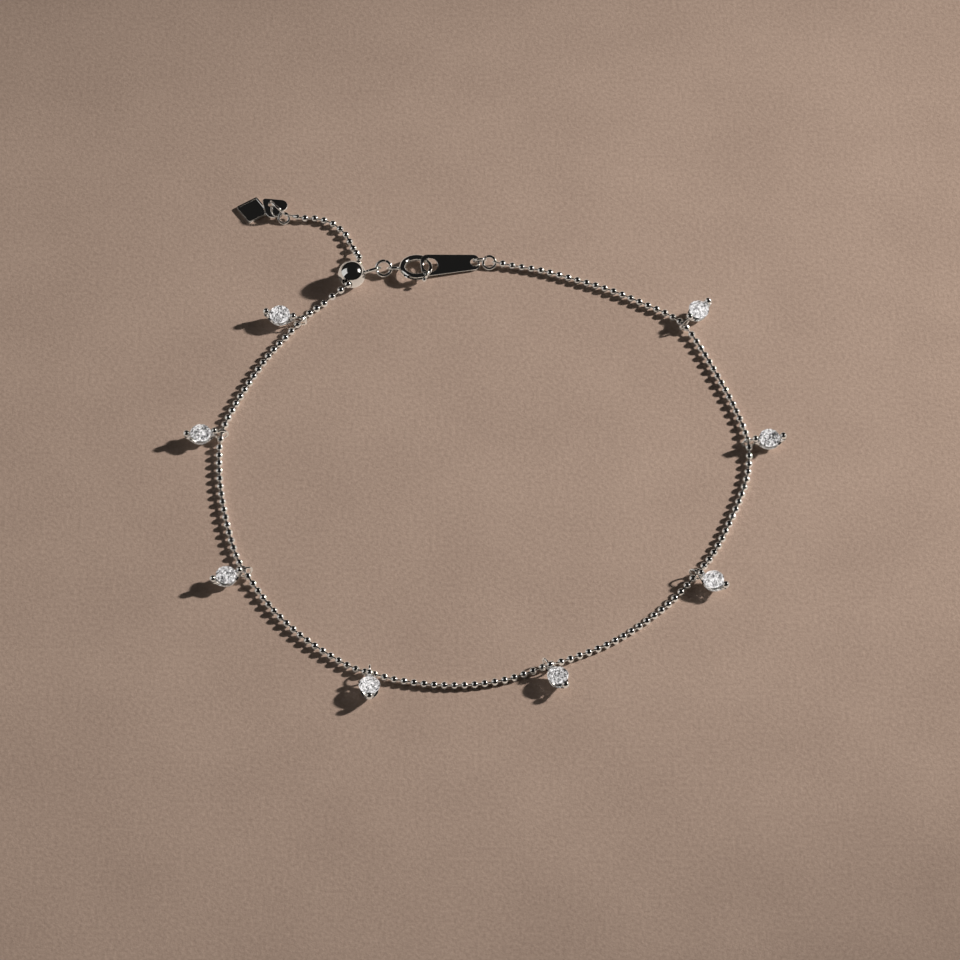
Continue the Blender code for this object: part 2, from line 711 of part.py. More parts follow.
def build_clasp_bolt():
    """The gate wire with its pin and knob; its origin is on the spring ring's axis."""
    gate = arc_bar("gate", SPRING_RADIUS, BOLT_TAIL, BOLT_TIP, BOLT_WIRE, BOLT_BEVEL, Matrix())
    knob_reach = SPRING_OUTER / 2 + KNOB_CLEARANCE + KNOB_DIAMETER / 2
    outward = polar(KNOB_ANGLE, 1)
    pin = rod("pin", KNOB_PIN, knob_reach - SPRING_RADIUS, 8,
              facing(outward * (SPRING_RADIUS + knob_reach) / 2, outward, UP))
    knob = ball("knob", KNOB_DIAMETER, TIP_SIDES, TIP_ROWS + 1, facing(outward * knob_reach, outward, UP))
    bolt = combine(gate, [pin, knob], "UNION")
    finish(bolt, "clasp_bolt", SILVER, SPRING_MATRIX)


def build_plate():
    left = -PLATE_LEFT_END
    right = PLATE_HOLE_SPACING + PLATE_RIGHT_END
    corners = [
        (left, -PLATE_WIDE / 2, PLATE_WIDE_CORNER),
        (right, -PLATE_NARROW / 2, PLATE_NARROW_CORNER),
        (right, PLATE_NARROW / 2, PLATE_NARROW_CORNER),
        (left, PLATE_WIDE / 2, PLATE_WIDE_CORNER),
    ]
    outlines = [
        rounded(corners),
        circle(0, 0, PLATE_BIG_HOLE),
        circle(PLATE_HOLE_SPACING, 0, PLATE_SMALL_HOLE),
    ]
    plate = flat_piece("plate", outlines, PLATE_THICKNESS)
    finish(plate, "clasp_plate", SILVER, plate_matrix())


def build_end_rings():
    along = polar(PLATE_HEADING, 1)
    lean = Vector((0, -math.sin(PLATE_RING_LEAN), math.cos(PLATE_RING_LEAN)))
    stand = facing(PLATE_RING_CENTRE, along.cross(lean), along)
    finish(wire_ring("ring", PLATE_RING_OUTER, PLATE_RING_WIRE, stand), "plate_ring", SILVER)
    across = Vector((1, 0, 0))
    end_ring = wire_ring("end_ring", END_RING_OUTER, END_RING_WIRE, facing(END_RING_CENTRE, FACE, across))
    finish(end_ring, "end_ring", SILVER)


def build_jump_ring():
    place = facing(JUMP_RING_CENTRE, FACE, Vector((1, 0, 0)))
    finish(wire_ring("ring", JUMP_RING_OUTER, CLASP_WIRE, place), "clasp_jump_ring", SILVER)


class HeartRing:
    """The ring that carries both tags: where it stands and where its wire crosses a height."""

    def __init__(self):
        self.radius = (HEART_RING_OUTER - TAIL_WIRE) / 2
        self.across = polar(HEART_RING_HEADING, 1)
        self.up = (FACE - FACE.dot(self.across) * self.across).normalized()
        held = on_tail_ring(HEART_RING_ANGLE)
        height = HEART_RING_OUTER / 2 * self.up.z + FLOOR_GAP
        self.centre = held - self.across * (self.radius - TAIL_WIRE - LINK_PLAY)
        self.centre.z = height

    def crossing(self, height):
        rise = (height - self.centre.z) / self.up.z
        return self.centre - math.sqrt(self.radius**2 - rise**2) * self.across + rise * self.up


def build_tail_rings(heart_ring):
    tail_ring = wire_ring(
        "tail_ring", TAIL_RING_OUTER, TAIL_WIRE, facing(TAIL_RING_CENTRE, FACE, Vector((1, 0, 0)))
    )
    finish(tail_ring, "tail_ring", SILVER)
    place = facing(heart_ring.centre, heart_ring.across.cross(heart_ring.up), heart_ring.across)
    finish(wire_ring("ring", HEART_RING_OUTER, TAIL_WIRE, place), "heart_ring", SILVER)


def heart_outline():
    """Two round lobes at the back and straight sides that meet in the tip, which points along +X."""
    radius = HEART_LOBE / 2
    half = HEART_LOBE_SPACING / 2
    reach = math.hypot(HEART_TIP, half)
    side = math.acos(radius / reach) - math.atan2(half, HEART_TIP)
    cleft = math.pi + math.asin(min(1.0, half / radius))
    upper = [(radius * math.cos(a), half + radius * math.sin(a)) for a in np.linspace(side, cleft, 10)]
    lower = [(x, -y) for x, y in reversed(upper)]
    return [(HEART_TIP, 0), *upper, *lower[1:]]


def build_heart(heart_ring):
    outline = heart_outline()
    hole = circle(HEART_HOLE_ALONG, 0, HEART_HOLE)
    heart = flat_piece("heart", [outline, hole], TAG_THICKNESS)
    turn = Matrix.Rotation(HEART_HEADING, 4, "Z")
    spot = heart_ring.crossing(HEART_HEIGHT)
    place = Matrix.Translation(spot) @ turn @ Matrix.Translation((-HEART_HOLE_ALONG, 0, 0))
    finish(heart, "heart_tag", SILVER, place)


def build_square(heart_ring):
    half = SQUARE_SIDE / 2
    corners = [(half * x, half * y, SQUARE_CORNER) for x, y in ((-1, -1), (1, -1), (1, 1), (-1, 1))]
    plate = flat_piece("square", [rounded(corners)], SQUARE_THICKNESS)
    middle = Vector((*SQUARE_PLACE, SQUARE_THICKNESS / 2 + FLOOR_GAP))
    plate.matrix_world = Matrix.Translation(middle) @ Matrix.Rotation(SQUARE_HEADING, 4, "Z")
    top = plate.matrix_world @ Matrix.Translation((0, 0, SQUARE_THICKNESS / 2))
    panel = SQUARE_SIDE - 2 * SQUARE_RIM
    recess = block("recess", (panel, panel, 2 * SQUARE_RECESS), top)
    hole = heart_ring.crossing(TONGUE_HEIGHT)
    disc = rod("disc", TONGUE_DIAMETER, TONGUE_THICKNESS, HOLE_SIDES, Matrix.Translation(hole))
    corner = plate.matrix_world @ Vector((half - SQUARE_RIM, -half + SQUARE_RIM, 0))
    corner.z = hole.z
    run = corner - hole
    strap = block(
        "strap",
        (run.length, TONGUE_DIAMETER / 2, STRAP_THICKNESS),
        facing((corner + hole) / 2, UP, run),
    )
    bore = rod("bore", TONGUE_HOLE, 4 * TONGUE_THICKNESS, HOLE_SIDES, Matrix.Translation(hole))
    tag = combine(as_mesh(plate), [recess], "DIFFERENCE")
    tag = combine(tag, [disc, strap], "UNION")
    tag = combine(tag, [bore], "DIFFERENCE")
    finish(tag, "square_tag", SILVER)


def centre_on_origin():
    """Hangs every part on one empty, moved so that the whole stands over the origin."""
    bpy.context.view_layer.update()
    low = Vector((math.inf,) * 3)
    high = Vector((-math.inf,) * 3)
    for part in PARTS.objects:
        for corner in part.data.vertices:
            place = part.matrix_world @ corner.co
            low = Vector(map(min, low, place))
            high = Vector(map(max, high, place))
    hub = bpy.data.objects.new("anklet", None)
    PARTS.objects.link(hub)
    for part in PARTS.objects:
        if part is not hub:
            part.parent = hub
    hub.location = (-(low.x + high.x) / 2, -(low.y + high.y) / 2, -low.z)


clear_scene()
PARTS = new_collection("anklet")
CUTTERS = new_collection("cutters")
SILVER = make_material("polished_white_metal", (0.9, 0.89, 0.87), 0.08, 1.0)
CRYSTAL = make_material("clear_stone", (1.0, 1.0, 1.0), 0.0, 0.0, transmission=1.0, ior=2.2)

chain_route = Route()
chain_beads = Beads(chain_route)
build_drops(chain_route, chain_beads)
build_chain(chain_route, chain_beads)
build_slider_ball()
build_jump_ring()
build_spring_ring()
build_clasp_bolt()
build_plate()
build_end_rings()
tag_ring = HeartRing()
build_tail_rings(tag_ring)
build_heart(tag_ring)
build_square(tag_ring)
centre_on_origin()
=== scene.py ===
# %% [markdown]
# # An anklet in Blender
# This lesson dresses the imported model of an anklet: a fine bead chain with eight stone drops, a sliding
# ball, a spring ring and two tags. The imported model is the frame: it says where every piece is. Each cell
# makes one piece finer than its frame solid, or gives it its finish.

# %% Load the frame
import math

import bmesh
import bpy
import numpy as np
from mathutils import Matrix, Vector


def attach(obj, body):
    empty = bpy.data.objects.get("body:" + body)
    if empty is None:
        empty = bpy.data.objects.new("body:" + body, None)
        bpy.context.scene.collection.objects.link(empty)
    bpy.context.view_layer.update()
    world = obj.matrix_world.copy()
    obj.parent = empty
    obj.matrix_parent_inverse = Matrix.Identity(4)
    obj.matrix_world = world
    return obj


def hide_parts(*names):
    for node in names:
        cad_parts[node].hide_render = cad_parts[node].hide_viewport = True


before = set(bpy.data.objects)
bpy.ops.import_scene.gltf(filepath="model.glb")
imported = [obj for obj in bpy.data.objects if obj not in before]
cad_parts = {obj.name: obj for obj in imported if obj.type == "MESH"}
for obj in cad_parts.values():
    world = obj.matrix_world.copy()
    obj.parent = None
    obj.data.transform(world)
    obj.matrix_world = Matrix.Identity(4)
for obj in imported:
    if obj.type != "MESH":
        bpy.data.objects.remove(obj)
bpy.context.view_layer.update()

# %% [markdown]
# ## Working in millimetres
# The anklet's pieces are so small that Blender's metres are awkward: a bead is 0.001 of one. Every piece
# here is modelled in millimetres, and scaled down when it becomes an object. Its place stays in its mesh,
# so the object itself sits at the origin.

# %% Helpers for pieces
MM = 0.001
BODY = "anklet"
BOLT_BODY = "clasp_bolt"
UP = Vector((0, 0, 1))


def as_piece(name, shape, material, body=BODY, replaces=(), sharp=35.0):
    """Makes an object of a shape in millimetres, and lets it ride on a body."""
    bmesh.ops.scale(shape, vec=(MM, MM, MM), verts=shape.verts)
    mesh = bpy.data.meshes.new(name)
    shape.to_mesh(mesh)
    shape.free()
    mesh.materials.append(material)
    mesh.set_sharp_from_angle(angle=math.radians(sharp))
    made = bpy.data.objects.new(name, mesh)
    bpy.context.scene.collection.objects.link(made)
    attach(made, body)
    if replaces:
        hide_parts(*replaces)
    mesh.calc_loop_triangles()
    print(name, len(mesh.loop_triangles), "triangles")
    return made


def smooth(shape, flat_along=None):
    """Shades every face smooth, apart from flat ones that face along the given direction."""
    for face in shape.faces:
        face.smooth = flat_along is None or abs(face.normal.dot(flat_along)) < 0.999
    return shape


def as_stamp(shape):
    """Keeps a shape as a mesh, to be stamped many times."""
    mesh = bpy.data.meshes.new("stamp")
    shape.to_mesh(mesh)
    shape.free()
    return mesh


def stamp(shape, mesh, place=Matrix()):
    """Adds a copy of a mesh to a shape, at a place."""
    copy = mesh.copy()
    copy.transform(place)
    shape.from_mesh(copy)
    bpy.data.meshes.remove(copy)


def add(shape, other, place=Matrix()):
    """Adds another shape to a shape, at a place, and frees it."""
    mesh = as_stamp(other)
    stamp(shape, mesh, place)
    bpy.data.meshes.remove(mesh)
    return shape


def facing(centre, normal, along):
    """A place at centre with its Z on normal and its X near along."""
    z_axis = Vector(normal).normalized()
    y_axis = z_axis.cross(Vector(along)).normalized()
    x_axis = y_axis.cross(z_axis)
    turn = Matrix((x_axis, y_axis, z_axis)).transposed().to_4x4()
    return Matrix.Translation(centre) @ turn


def corners(node):
    """The corners of a frame solid, each once, in millimetres."""
    places = np.array([v.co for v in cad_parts[node].data.vertices]) / MM
    return np.unique(places.round(4), axis=0)


# %% [markdown]
# ## The camera
# The photograph looks down on the loop from the front, at a bit over fifty degrees. A long lens from a
# metre away gives a flat perspective like the photograph's. The picture is square, and once the distance
# is chosen, the lens and the aim settle the framing.

# %% Camera
CAMERA_ELEVATION = math.radians(51.5)
CAMERA_DISTANCE = 1.0
CAMERA_AIM = Vector((-0.000723, -0.006351, 0))
CAMERA_LENS = 256.5
SENSOR_WIDTH = 36

camera_data = bpy.data.cameras.new("camera")
camera_data.lens = CAMERA_LENS
camera_data.sensor_width = SENSOR_WIDTH
camera_data.clip_start = 0.01
camera = bpy.data.objects.new("camera", camera_data)
bpy.context.scene.collection.objects.link(camera)
camera_back = Vector((0, -math.cos(CAMERA_ELEVATION), math.sin(CAMERA_ELEVATION)))
camera.location = CAMERA_AIM + camera_back * CAMERA_DISTANCE
camera.rotation_euler = camera_back.to_track_quat("Z", "Y").to_euler()
bpy.context.scene.camera = camera
print("camera at", [round(v, 3) for v in camera.location])

# %% [markdown]
# ## Building materials from nodes
# Node trees are easier to read when a helper makes a node, sets it and returns it. The last helper makes
# a group with named inputs and outputs, which any material can then use with its own values.


# %% Helpers for nodes
def new_node(tree, kind, settings=(), **inputs):
    """A node of a kind, with its properties from settings and its input values by name."""
    node = tree.nodes.new("ShaderNode" + kind)
    for name, value in dict(settings).items():
        setattr(node, name, value)
    for name, value in inputs.items():
        node.inputs[name.replace("_", " ")].default_value = value
    return node


def new_material(name):
    """A node material, with its tree and its shader."""
    material = bpy.data.materials.new(name)
    material.use_nodes = True
    tree = material.node_tree
    return material, tree, tree.nodes["Principled BSDF"]


def new_group(name, inputs, outputs):
    """A shader node group, with its own input and output nodes."""
    group = bpy.data.node_groups.new(name, "ShaderNodeTree")
    for label, kind, value in inputs:
        socket = group.interface.new_socket(label, in_out="INPUT", socket_type=kind)
        if value is not None:
            socket.default_value = value
    for label, kind in outputs:
        group.interface.new_socket(label, in_out="OUTPUT", socket_type=kind)
    return group, group.nodes.new("NodeGroupInput"), group.nodes.new("NodeGroupOutput")


# %% [markdown]
# ## Polish and its marks
# Polished metal is a mirror, but never a perfect one. Wear leaves hair-fine scratches and faint hazy
# patches, and the polishing wheel leaves the surface slightly wavy, which breaks long reflections. One
# group gives all three, as a roughness and a height, so that every metal piece can use it with its own
# strength.

# %% Polish marks
marks, marks_in, marks_out = new_group(
    "polish_marks",
    [
        ("Vector", "NodeSocketVector", None),
        ("Polish", "NodeSocketFloat", 0.05),
        ("Haze", "NodeSocketFloat", 0.06),
        ("Wave Scale", "NodeSocketFloat", 500.0),
    ],
    [("Roughness", "NodeSocketFloat"), ("Height", "NodeSocketFloat")],
)
haze = new_node(marks, "TexNoise", Scale=900.0, Detail=4.0, Roughness=0.6)
haze_reach = new_node(marks, "MapRange", From_Min=0.45, From_Max=0.75)
haze_share = new_node(marks, "Math", {"operation": "MULTIPLY_ADD"})
stretch = new_node(marks, "Mapping", Rotation=(0.3, 0.2, 0.6), Scale=(1.0, 14.0, 4.0))
scratches = new_node(marks, "TexNoise", Scale=1600.0, Detail=3.0, Roughness=0.7)
scratch_lines = new_node(marks, "MapRange", From_Min=0.62, From_Max=0.70, To_Max=0.25)
wave = new_node(marks, "TexNoise", Detail=1.0, Roughness=0.4)
height_sum = new_node(marks, "Math", {"operation": "SUBTRACT"})
link = marks.links.new
link(marks_in.outputs["Vector"], haze.inputs["Vector"])
link(haze.outputs["Fac"], haze_reach.inputs["Value"])
link(haze_reach.outputs["Result"], haze_share.inputs[0])
link(marks_in.outputs["Haze"], haze_share.inputs[1])
link(marks_in.outputs["Polish"], haze_share.inputs[2])
link(haze_share.outputs["Value"], marks_out.inputs["Roughness"])
link(marks_in.outputs["Vector"], stretch.inputs["Vector"])
link(stretch.outputs["Vector"], scratches.inputs["Vector"])
link(scratches.outputs["Fac"], scratch_lines.inputs["Value"])
link(marks_in.outputs["Vector"], wave.inputs["Vector"])
link(marks_in.outputs["Wave Scale"], wave.inputs["Scale"])
link(wave.outputs["Fac"], height_sum.inputs[0])
link(scratch_lines.outputs["Result"], height_sum.inputs[1])
link(height_sum.outputs["Value"], marks_out.inputs["Height"])
print("polish_marks has", len(marks.nodes), "nodes")

# %% [markdown]
# ## The white metal
# The anklet is white metal, silver or rhodium plate, with a mirror polish. The material is plain: a bright
# neutral base colour, full metallic, and the marks group for roughness and bump. What makes it look right
# is what it reflects: mostly a dark room, a pale floor and two bright panels.


# %% Metal materials
def polished_metal(name, colour, polish, haze_amount, wave_scale, wave_depth):
    """A polished white metal, with its own strength of marks."""
    material, tree, shader = new_material(name)
    place = new_node(tree, "TexCoord")
    wear = tree.nodes.new("ShaderNodeGroup")
    wear.node_tree = marks
    wear.inputs["Polish"].default_value = polish
    wear.inputs["Haze"].default_value = haze_amount
    wear.inputs["Wave Scale"].default_value = wave_scale
    bump = new_node(tree, "Bump", Strength=1.0, Distance=wave_depth)
    tree.links.new(place.outputs["Object"], wear.inputs["Vector"])
    tree.links.new(wear.outputs["Roughness"], shader.inputs["Roughness"])
    tree.links.new(wear.outputs["Height"], bump.inputs["Height"])
    tree.links.new(bump.outputs["Normal"], shader.inputs["Normal"])
    shader.inputs["Base Color"].default_value = (*colour, 1)
    shader.inputs["Metallic"].default_value = 1.0
    return material


SILVER = polished_metal("silver_wire", (0.90, 0.89, 0.87), 0.06, 0.10, 400.0, 0.00002)
BRIGHT_SILVER = polished_metal("silver_sheet", (0.91, 0.90, 0.88), 0.05, 0.05, 260.0, 0.000006)
BEAD_SILVER = polished_metal("silver_bead", (0.92, 0.91, 0.89), 0.08, 0.10, 700.0, 0.00001)
print("metals", SILVER.name, BRIGHT_SILVER.name, BEAD_SILVER.name)

# %% [markdown]
# ## The clear stone
# The stones are cut from a clear crystal that bends light more than glass does, which is why they flash.
# A principled shader with full transmission and an index of 2.15 bends the light. A real stone also
# gathers sparks from every small lamp and gap in a room, which this plain studio doesn't have. So a
# mosaic of cells, made by a cell texture and by the way each facet faces, gives some of them a glow of
# their own. The glow is for rays from the camera and for rays that come through a stone, so that it
# doesn't light up the metal cup.

# %% Stone material
CRYSTAL, crystal_tree, crystal_shader = new_material("clear_crystal")
crystal_shader.inputs["Base Color"].default_value = (0.98, 0.985, 1.0, 1)
crystal_shader.inputs["Transmission Weight"].default_value = 1.0
crystal_shader.inputs["IOR"].default_value = 2.15
crystal_place = new_node(crystal_tree, "TexCoord")
crystal_wear = new_node(crystal_tree, "TexNoise", Scale=2500.0, Detail=2.0)
crystal_range = new_node(crystal_tree, "MapRange", From_Min=0.4, From_Max=0.8, To_Max=0.03)
crystal_face = new_node(crystal_tree, "NewGeometry")
crystal_cells = new_node(crystal_tree, "TexVoronoi", Scale=4000.0)
crystal_path = new_node(crystal_tree, "LightPath")
crystal_seen = new_node(crystal_tree, "Math", {"operation": "MAXIMUM"})
crystal_glow = new_node(crystal_tree, "Math", {"operation": "MULTIPLY"})
crystal_glow.inputs[1].default_value = 0.55
crystal_turns = new_node(crystal_tree, "TexNoise", Scale=3.5, Detail=1.0)
crystal_both = new_node(crystal_tree, "Math", {"operation": "MULTIPLY"})
crystal_sparks = new_node(crystal_tree, "ValToRGB")
crystal_sparks.color_ramp.elements[0].position = 0.20
crystal_sparks.color_ramp.elements[0].color = (0.022, 0.02, 0.02, 1)
crystal_sparks.color_ramp.elements[1].position = 0.32
crystal_sparks.color_ramp.elements[1].color = (0.96, 0.93, 0.92, 1)
crystal_tree.links.new(crystal_place.outputs["Object"], crystal_cells.inputs["Vector"])
crystal_tree.links.new(crystal_face.outputs["True Normal"], crystal_turns.inputs["Vector"])
crystal_tree.links.new(crystal_cells.outputs["Color"], crystal_both.inputs[0])
crystal_tree.links.new(crystal_turns.outputs["Fac"], crystal_both.inputs[1])
crystal_tree.links.new(crystal_both.outputs["Value"], crystal_sparks.inputs["Fac"])
crystal_tree.links.new(crystal_sparks.outputs["Color"], crystal_shader.inputs["Emission Color"])
crystal_tree.links.new(crystal_path.outputs["Is Camera Ray"], crystal_seen.inputs[0])
crystal_tree.links.new(crystal_path.outputs["Is Transmission Ray"], crystal_seen.inputs[1])
crystal_tree.links.new(crystal_seen.outputs["Value"], crystal_glow.inputs[0])
crystal_tree.links.new(crystal_glow.outputs["Value"], crystal_shader.inputs["Emission Strength"])
crystal_tree.links.new(crystal_place.outputs["Object"], crystal_wear.inputs["Vector"])
crystal_tree.links.new(crystal_wear.outputs["Fac"], crystal_range.inputs["Value"])
crystal_tree.links.new(crystal_range.outputs["Result"], crystal_shader.inputs["Roughness"])
print(CRYSTAL.name, "has", len(crystal_tree.nodes), "nodes")

# %% [markdown]
# ## Rings of wire
# A jump ring is a length of round wire wound to a circle, with a hair-fine cut where its ends meet. In
# Blender it is a small circle, the wire's section, spun round an axis. A soldered ring has no cut, so its
# spin closes on itself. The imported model's ring solids give the place: the middle of their corners is the
# ring's centre, and the direction in which they spread least is its axis.


# %% Helper for wire rings
CUT_WIDTH = 0.06


def wire_ring(outer, wire, place=Matrix(), cut=None, steps=48, sides=12):
    """A ring of round wire about the place's Z. A cut is the angle in degrees where its ends meet."""
    shape = bmesh.new()
    radius = (outer - wire) / 2
    section = Matrix.Translation((radius, 0, 0)) @ Matrix.Rotation(math.pi / 2, 4, "X")
    bmesh.ops.create_circle(shape, cap_ends=False, segments=sides, radius=wire / 2, matrix=section)
    gap = 0.0 if cut is None else CUT_WIDTH / radius
    turn = Matrix.Rotation(gap / 2 + math.radians(cut or 0.0), 4, "Z")
    bmesh.ops.transform(shape, matrix=turn, verts=shape.verts)
    bmesh.ops.spin(
        shape, geom=shape.verts[:] + shape.edges[:], cent=(0, 0, 0), axis=(0, 0, 1), angle=math.tau - gap,
        steps=steps, use_merge=cut is None,
    )
    if cut is not None:
        rims = [edge for edge in shape.edges if edge.is_boundary]
        bmesh.ops.holes_fill(shape, edges=rims, sides=sides)
    bmesh.ops.recalc_face_normals(shape, faces=shape.faces)
    bmesh.ops.transform(shape, matrix=place, verts=shape.verts)
    return smooth(shape)


def measured_ring(node):
    """Place and outer diameter of a plain ring, from the corners of its frame solid."""
    spots = corners(node)
    centre = spots.mean(axis=0)
    offsets = spots - centre
    axis = np.linalg.svd(offsets, full_matrices=False)[2][2]
    across = offsets - np.outer(offsets @ axis, axis)
    reach = np.linalg.norm(across, axis=1).max()
    axis = Vector(axis) if axis[2] > 0 else -Vector(axis)
    return facing(centre, axis, (1, 0, 0)), 2 * reach


# %% Plain rings
RING_TRIM = 0.05
RINGS = {
    "clasp_jump_ring": {"wire": 0.50, "cut": 75},
    "plate_ring": {"wire": 0.38, "cut": 250},
    "end_ring": {"wire": 0.46, "cut": 115},
    "tail_ring": {"wire": 0.40, "cut": 215},
    "heart_ring": {"wire": 0.35, "cut": 60},
}
for node, sizes in RINGS.items():
    place, outer = measured_ring(node)
    ring = wire_ring(outer - RING_TRIM, sizes["wire"], place, cut=sizes["cut"], steps=64, sides=14)
    as_piece("wire_" + node, ring, SILVER, replaces=[node])

# %% [markdown]
# ## The bead chain
# Fine bead chain is made by machine: hollow balls are rolled round the ends of short wires. The packed
# chain gives the beads' places. Starting from the second bead, the script steps one pitch along in plan,
# takes the middle of the corners it finds there, and goes on to the last bead but one. Going by the plan
# alone keeps it on the chain where that climbs. Beads that would dip below the surface are lifted onto it.

# %% Places of the beads
BEAD_COUNT = 166
BEAD_PITCH = 1.451
FIRST_BEAD = Vector((2.679, 34.443, 0.747))
SECOND_BEAD = Vector((4.106, 34.182, 0.579))
LAST_BEAD = Vector((-27.110, 43.506, 0.632))
FIRST_EYELET = Vector((1.658, 34.640, 0.798))
LAST_EYELET = Vector((-29.537, 43.832, 0.944))

BEAD_RADIUS = 0.55
BEAD_SEARCH = 0.6
SEARCH_ROUNDS = 4

chain_corners = corners("chain")
bead_places = [FIRST_BEAD, SECOND_BEAD]
while len(bead_places) < BEAD_COUNT - 1:
    onward = bead_places[-1].xy - bead_places[-2].xy
    guess = np.array(bead_places[-1].xy + onward.normalized() * BEAD_PITCH)
    for attempt in range(SEARCH_ROUNDS):
        near = chain_corners[np.linalg.norm(chain_corners[:, :2] - guess, axis=1) < BEAD_SEARCH]
        guess = near.mean(axis=0)[:2]
    bead_places.append(Vector(near.mean(axis=0)))
bead_places.append(LAST_BEAD)
for spot in bead_places:
    spot.z = max(spot.z, BEAD_RADIUS)
print("last step", round((bead_places[-1] - bead_places[-2]).length, 3), "mm")


# %% Helper for turned shapes
def turned(profile, steps, closed=False):
    """Spins a profile of (radius, height) about Z."""
    shape = bmesh.new()
    points = [shape.verts.new((radius, 0, height)) for radius, height in profile]
    pairs = list(zip(points, points[1:]))
    if closed:
        pairs.append((points[-1], points[0]))
    edges = [shape.edges.new(pair) for pair in pairs]
    bmesh.ops.spin(
        shape, geom=points + edges, cent=(0, 0, 0), axis=(0, 0, 1), angle=math.tau, steps=steps,
        use_merge=True,
    )
    bmesh.ops.remove_doubles(shape, verts=shape.verts, dist=0.0005)
    bmesh.ops.recalc_face_normals(shape, faces=shape.faces)
    return smooth(shape)


def sphere_arc(radius, start, end, steps):
    """Points on a half circle, from one polar angle in degrees to another."""
    angles = np.radians(np.linspace(start, end, steps + 1))
    return [(radius * math.sin(angle), radius * math.cos(angle)) for angle in angles]


# %% [markdown]
# ## Threading the beads
# One bead is a turned arc, open at both ends where the wires come out, and it faces along the chain. One
# link is a thin rod between two beads, cut short so that its ends stay inside them. The tail ends in a
# turned cap, and both ends have an eyelet of thin wire.

# %% Chain
BEAD_HOLE_ANGLE = 17
LINK_RADIUS = 0.14
LINK_CUT = 0.8
EYELET_LINK_CUT = 0.9
CAP_PLACE = 0.95
EYELET_OUTER = 1.26
EYELET_WIRE = 0.26

bead = as_stamp(turned(sphere_arc(BEAD_RADIUS, BEAD_HOLE_ANGLE, 180 - BEAD_HOLE_ANGLE, 7), 14))
chain = bmesh.new()
for index, spot in enumerate(bead_places):
    before = bead_places[max(index - 1, 0)]
    after = bead_places[min(index + 1, BEAD_COUNT - 1)]
    stamp(chain, bead, facing(spot, after - before, UP))

link_ends = [FIRST_EYELET, *bead_places]
for start, end in zip(link_ends, link_ends[1:]):
    run = end - start
    middle = facing((start + end) / 2, run, UP)
    length = run.length - (EYELET_LINK_CUT if start is FIRST_EYELET else LINK_CUT)
    rod = bmesh.new()
    bmesh.ops.create_cone(
        rod, cap_ends=False, segments=8, radius1=LINK_RADIUS, radius2=LINK_RADIUS, depth=length, matrix=middle
    )
    add(chain, smooth(rod))

cap_run = (LAST_EYELET - LAST_BEAD).normalized()
cap_start = LAST_BEAD + cap_run * CAP_PLACE
cap_profile = [
    (0, -0.5), (0.13, -0.5), (0.13, -0.02), (0.36, -0.02), (0.42, 0.05), (0.42, 0.22), (0.36, 0.32),
    (0.2, 0.95), (0.13, 1.02), (0, 1.02),
]
add(chain, turned(cap_profile, 20), facing(cap_start, cap_run, UP))

RING_LEAN = math.radians(38.5)
LEAN_FACE = Vector((0, -math.sin(RING_LEAN), math.cos(RING_LEAN)))
for eyelet, toward in ((FIRST_EYELET, FIRST_BEAD), (LAST_EYELET, LAST_BEAD)):
    along = toward - eyelet
    along.z = 0
    eyelet_place = facing(eyelet, along.cross(LEAN_FACE), along)
    add(chain, wire_ring(EYELET_OUTER, EYELET_WIRE, eyelet_place, steps=28, sides=10))
as_piece("bead_chain", chain, BEAD_SILVER, replaces=["chain"])

# %% [markdown]
# ## Cutting a stone
# A gem cutter starts from a rough block and grinds one flat facet after another. Blender can do just that:
# the block is a short cylinder, and each facet is one bisect_plane that throws away what is outside it,
# followed by a fill of the cut. The round brilliant has a table, eight star, eight main and sixteen half
# facets above the girdle, and eight mains and sixteen halves below it. Three corners settle each plane.

# %% Stone
GIRDLE = 1.52
GIRDLE_LOW = 1.95
GIRDLE_HIGH = 2.05
TABLE_HIGH = 2.55
CULET = 0.5
CROWN_ANGLE = 33.7
RIDGE_REACH = 0.42
EIGHTH = 45.0
HALF_EIGHTH = 22.5
INSIDE_STONE = Vector((0, 0, 1.6))


def spot_at(radius, angle, height):
    """A place round the stone's axis, with the angle in degrees."""
    turn = math.radians(angle)
    return Vector((radius * math.cos(turn), radius * math.sin(turn), height))


def grind(shape, one, two, three):
    """Cuts the shape flat through three places, and closes the cut."""
    normal = (two - one).cross(three - one).normalized()
    if normal.dot(one - INSIDE_STONE) < 0:
        normal = -normal
    everything = shape.verts[:] + shape.edges[:] + shape.faces[:]
    cut = bmesh.ops.bisect_plane(
        shape, geom=everything, dist=0.0004, plane_co=one, plane_no=normal, clear_outer=True,
        clear_inner=False,
    )
    rim = [part for part in cut["geom_cut"] if isinstance(part, bmesh.types.BMEdge) and part.is_boundary]
    if len(rim) > 2:
        bmesh.ops.contextual_create(shape, geom=rim)


crown_slope = math.tan(math.radians(CROWN_ANGLE))
table_corner = GIRDLE - (TABLE_HIGH - GIRDLE_HIGH) / crown_slope
half_step = math.cos(math.radians(HALF_EIGHTH))
star_reach = table_corner * half_step + 0.5 * (GIRDLE - table_corner * half_step)
star_height = GIRDLE_HIGH + crown_slope * (GIRDLE - star_reach * half_step)
pavilion_slope = (GIRDLE_LOW - CULET) / GIRDLE
ridge_height = GIRDLE_LOW - pavilion_slope * (GIRDLE - RIDGE_REACH * half_step)

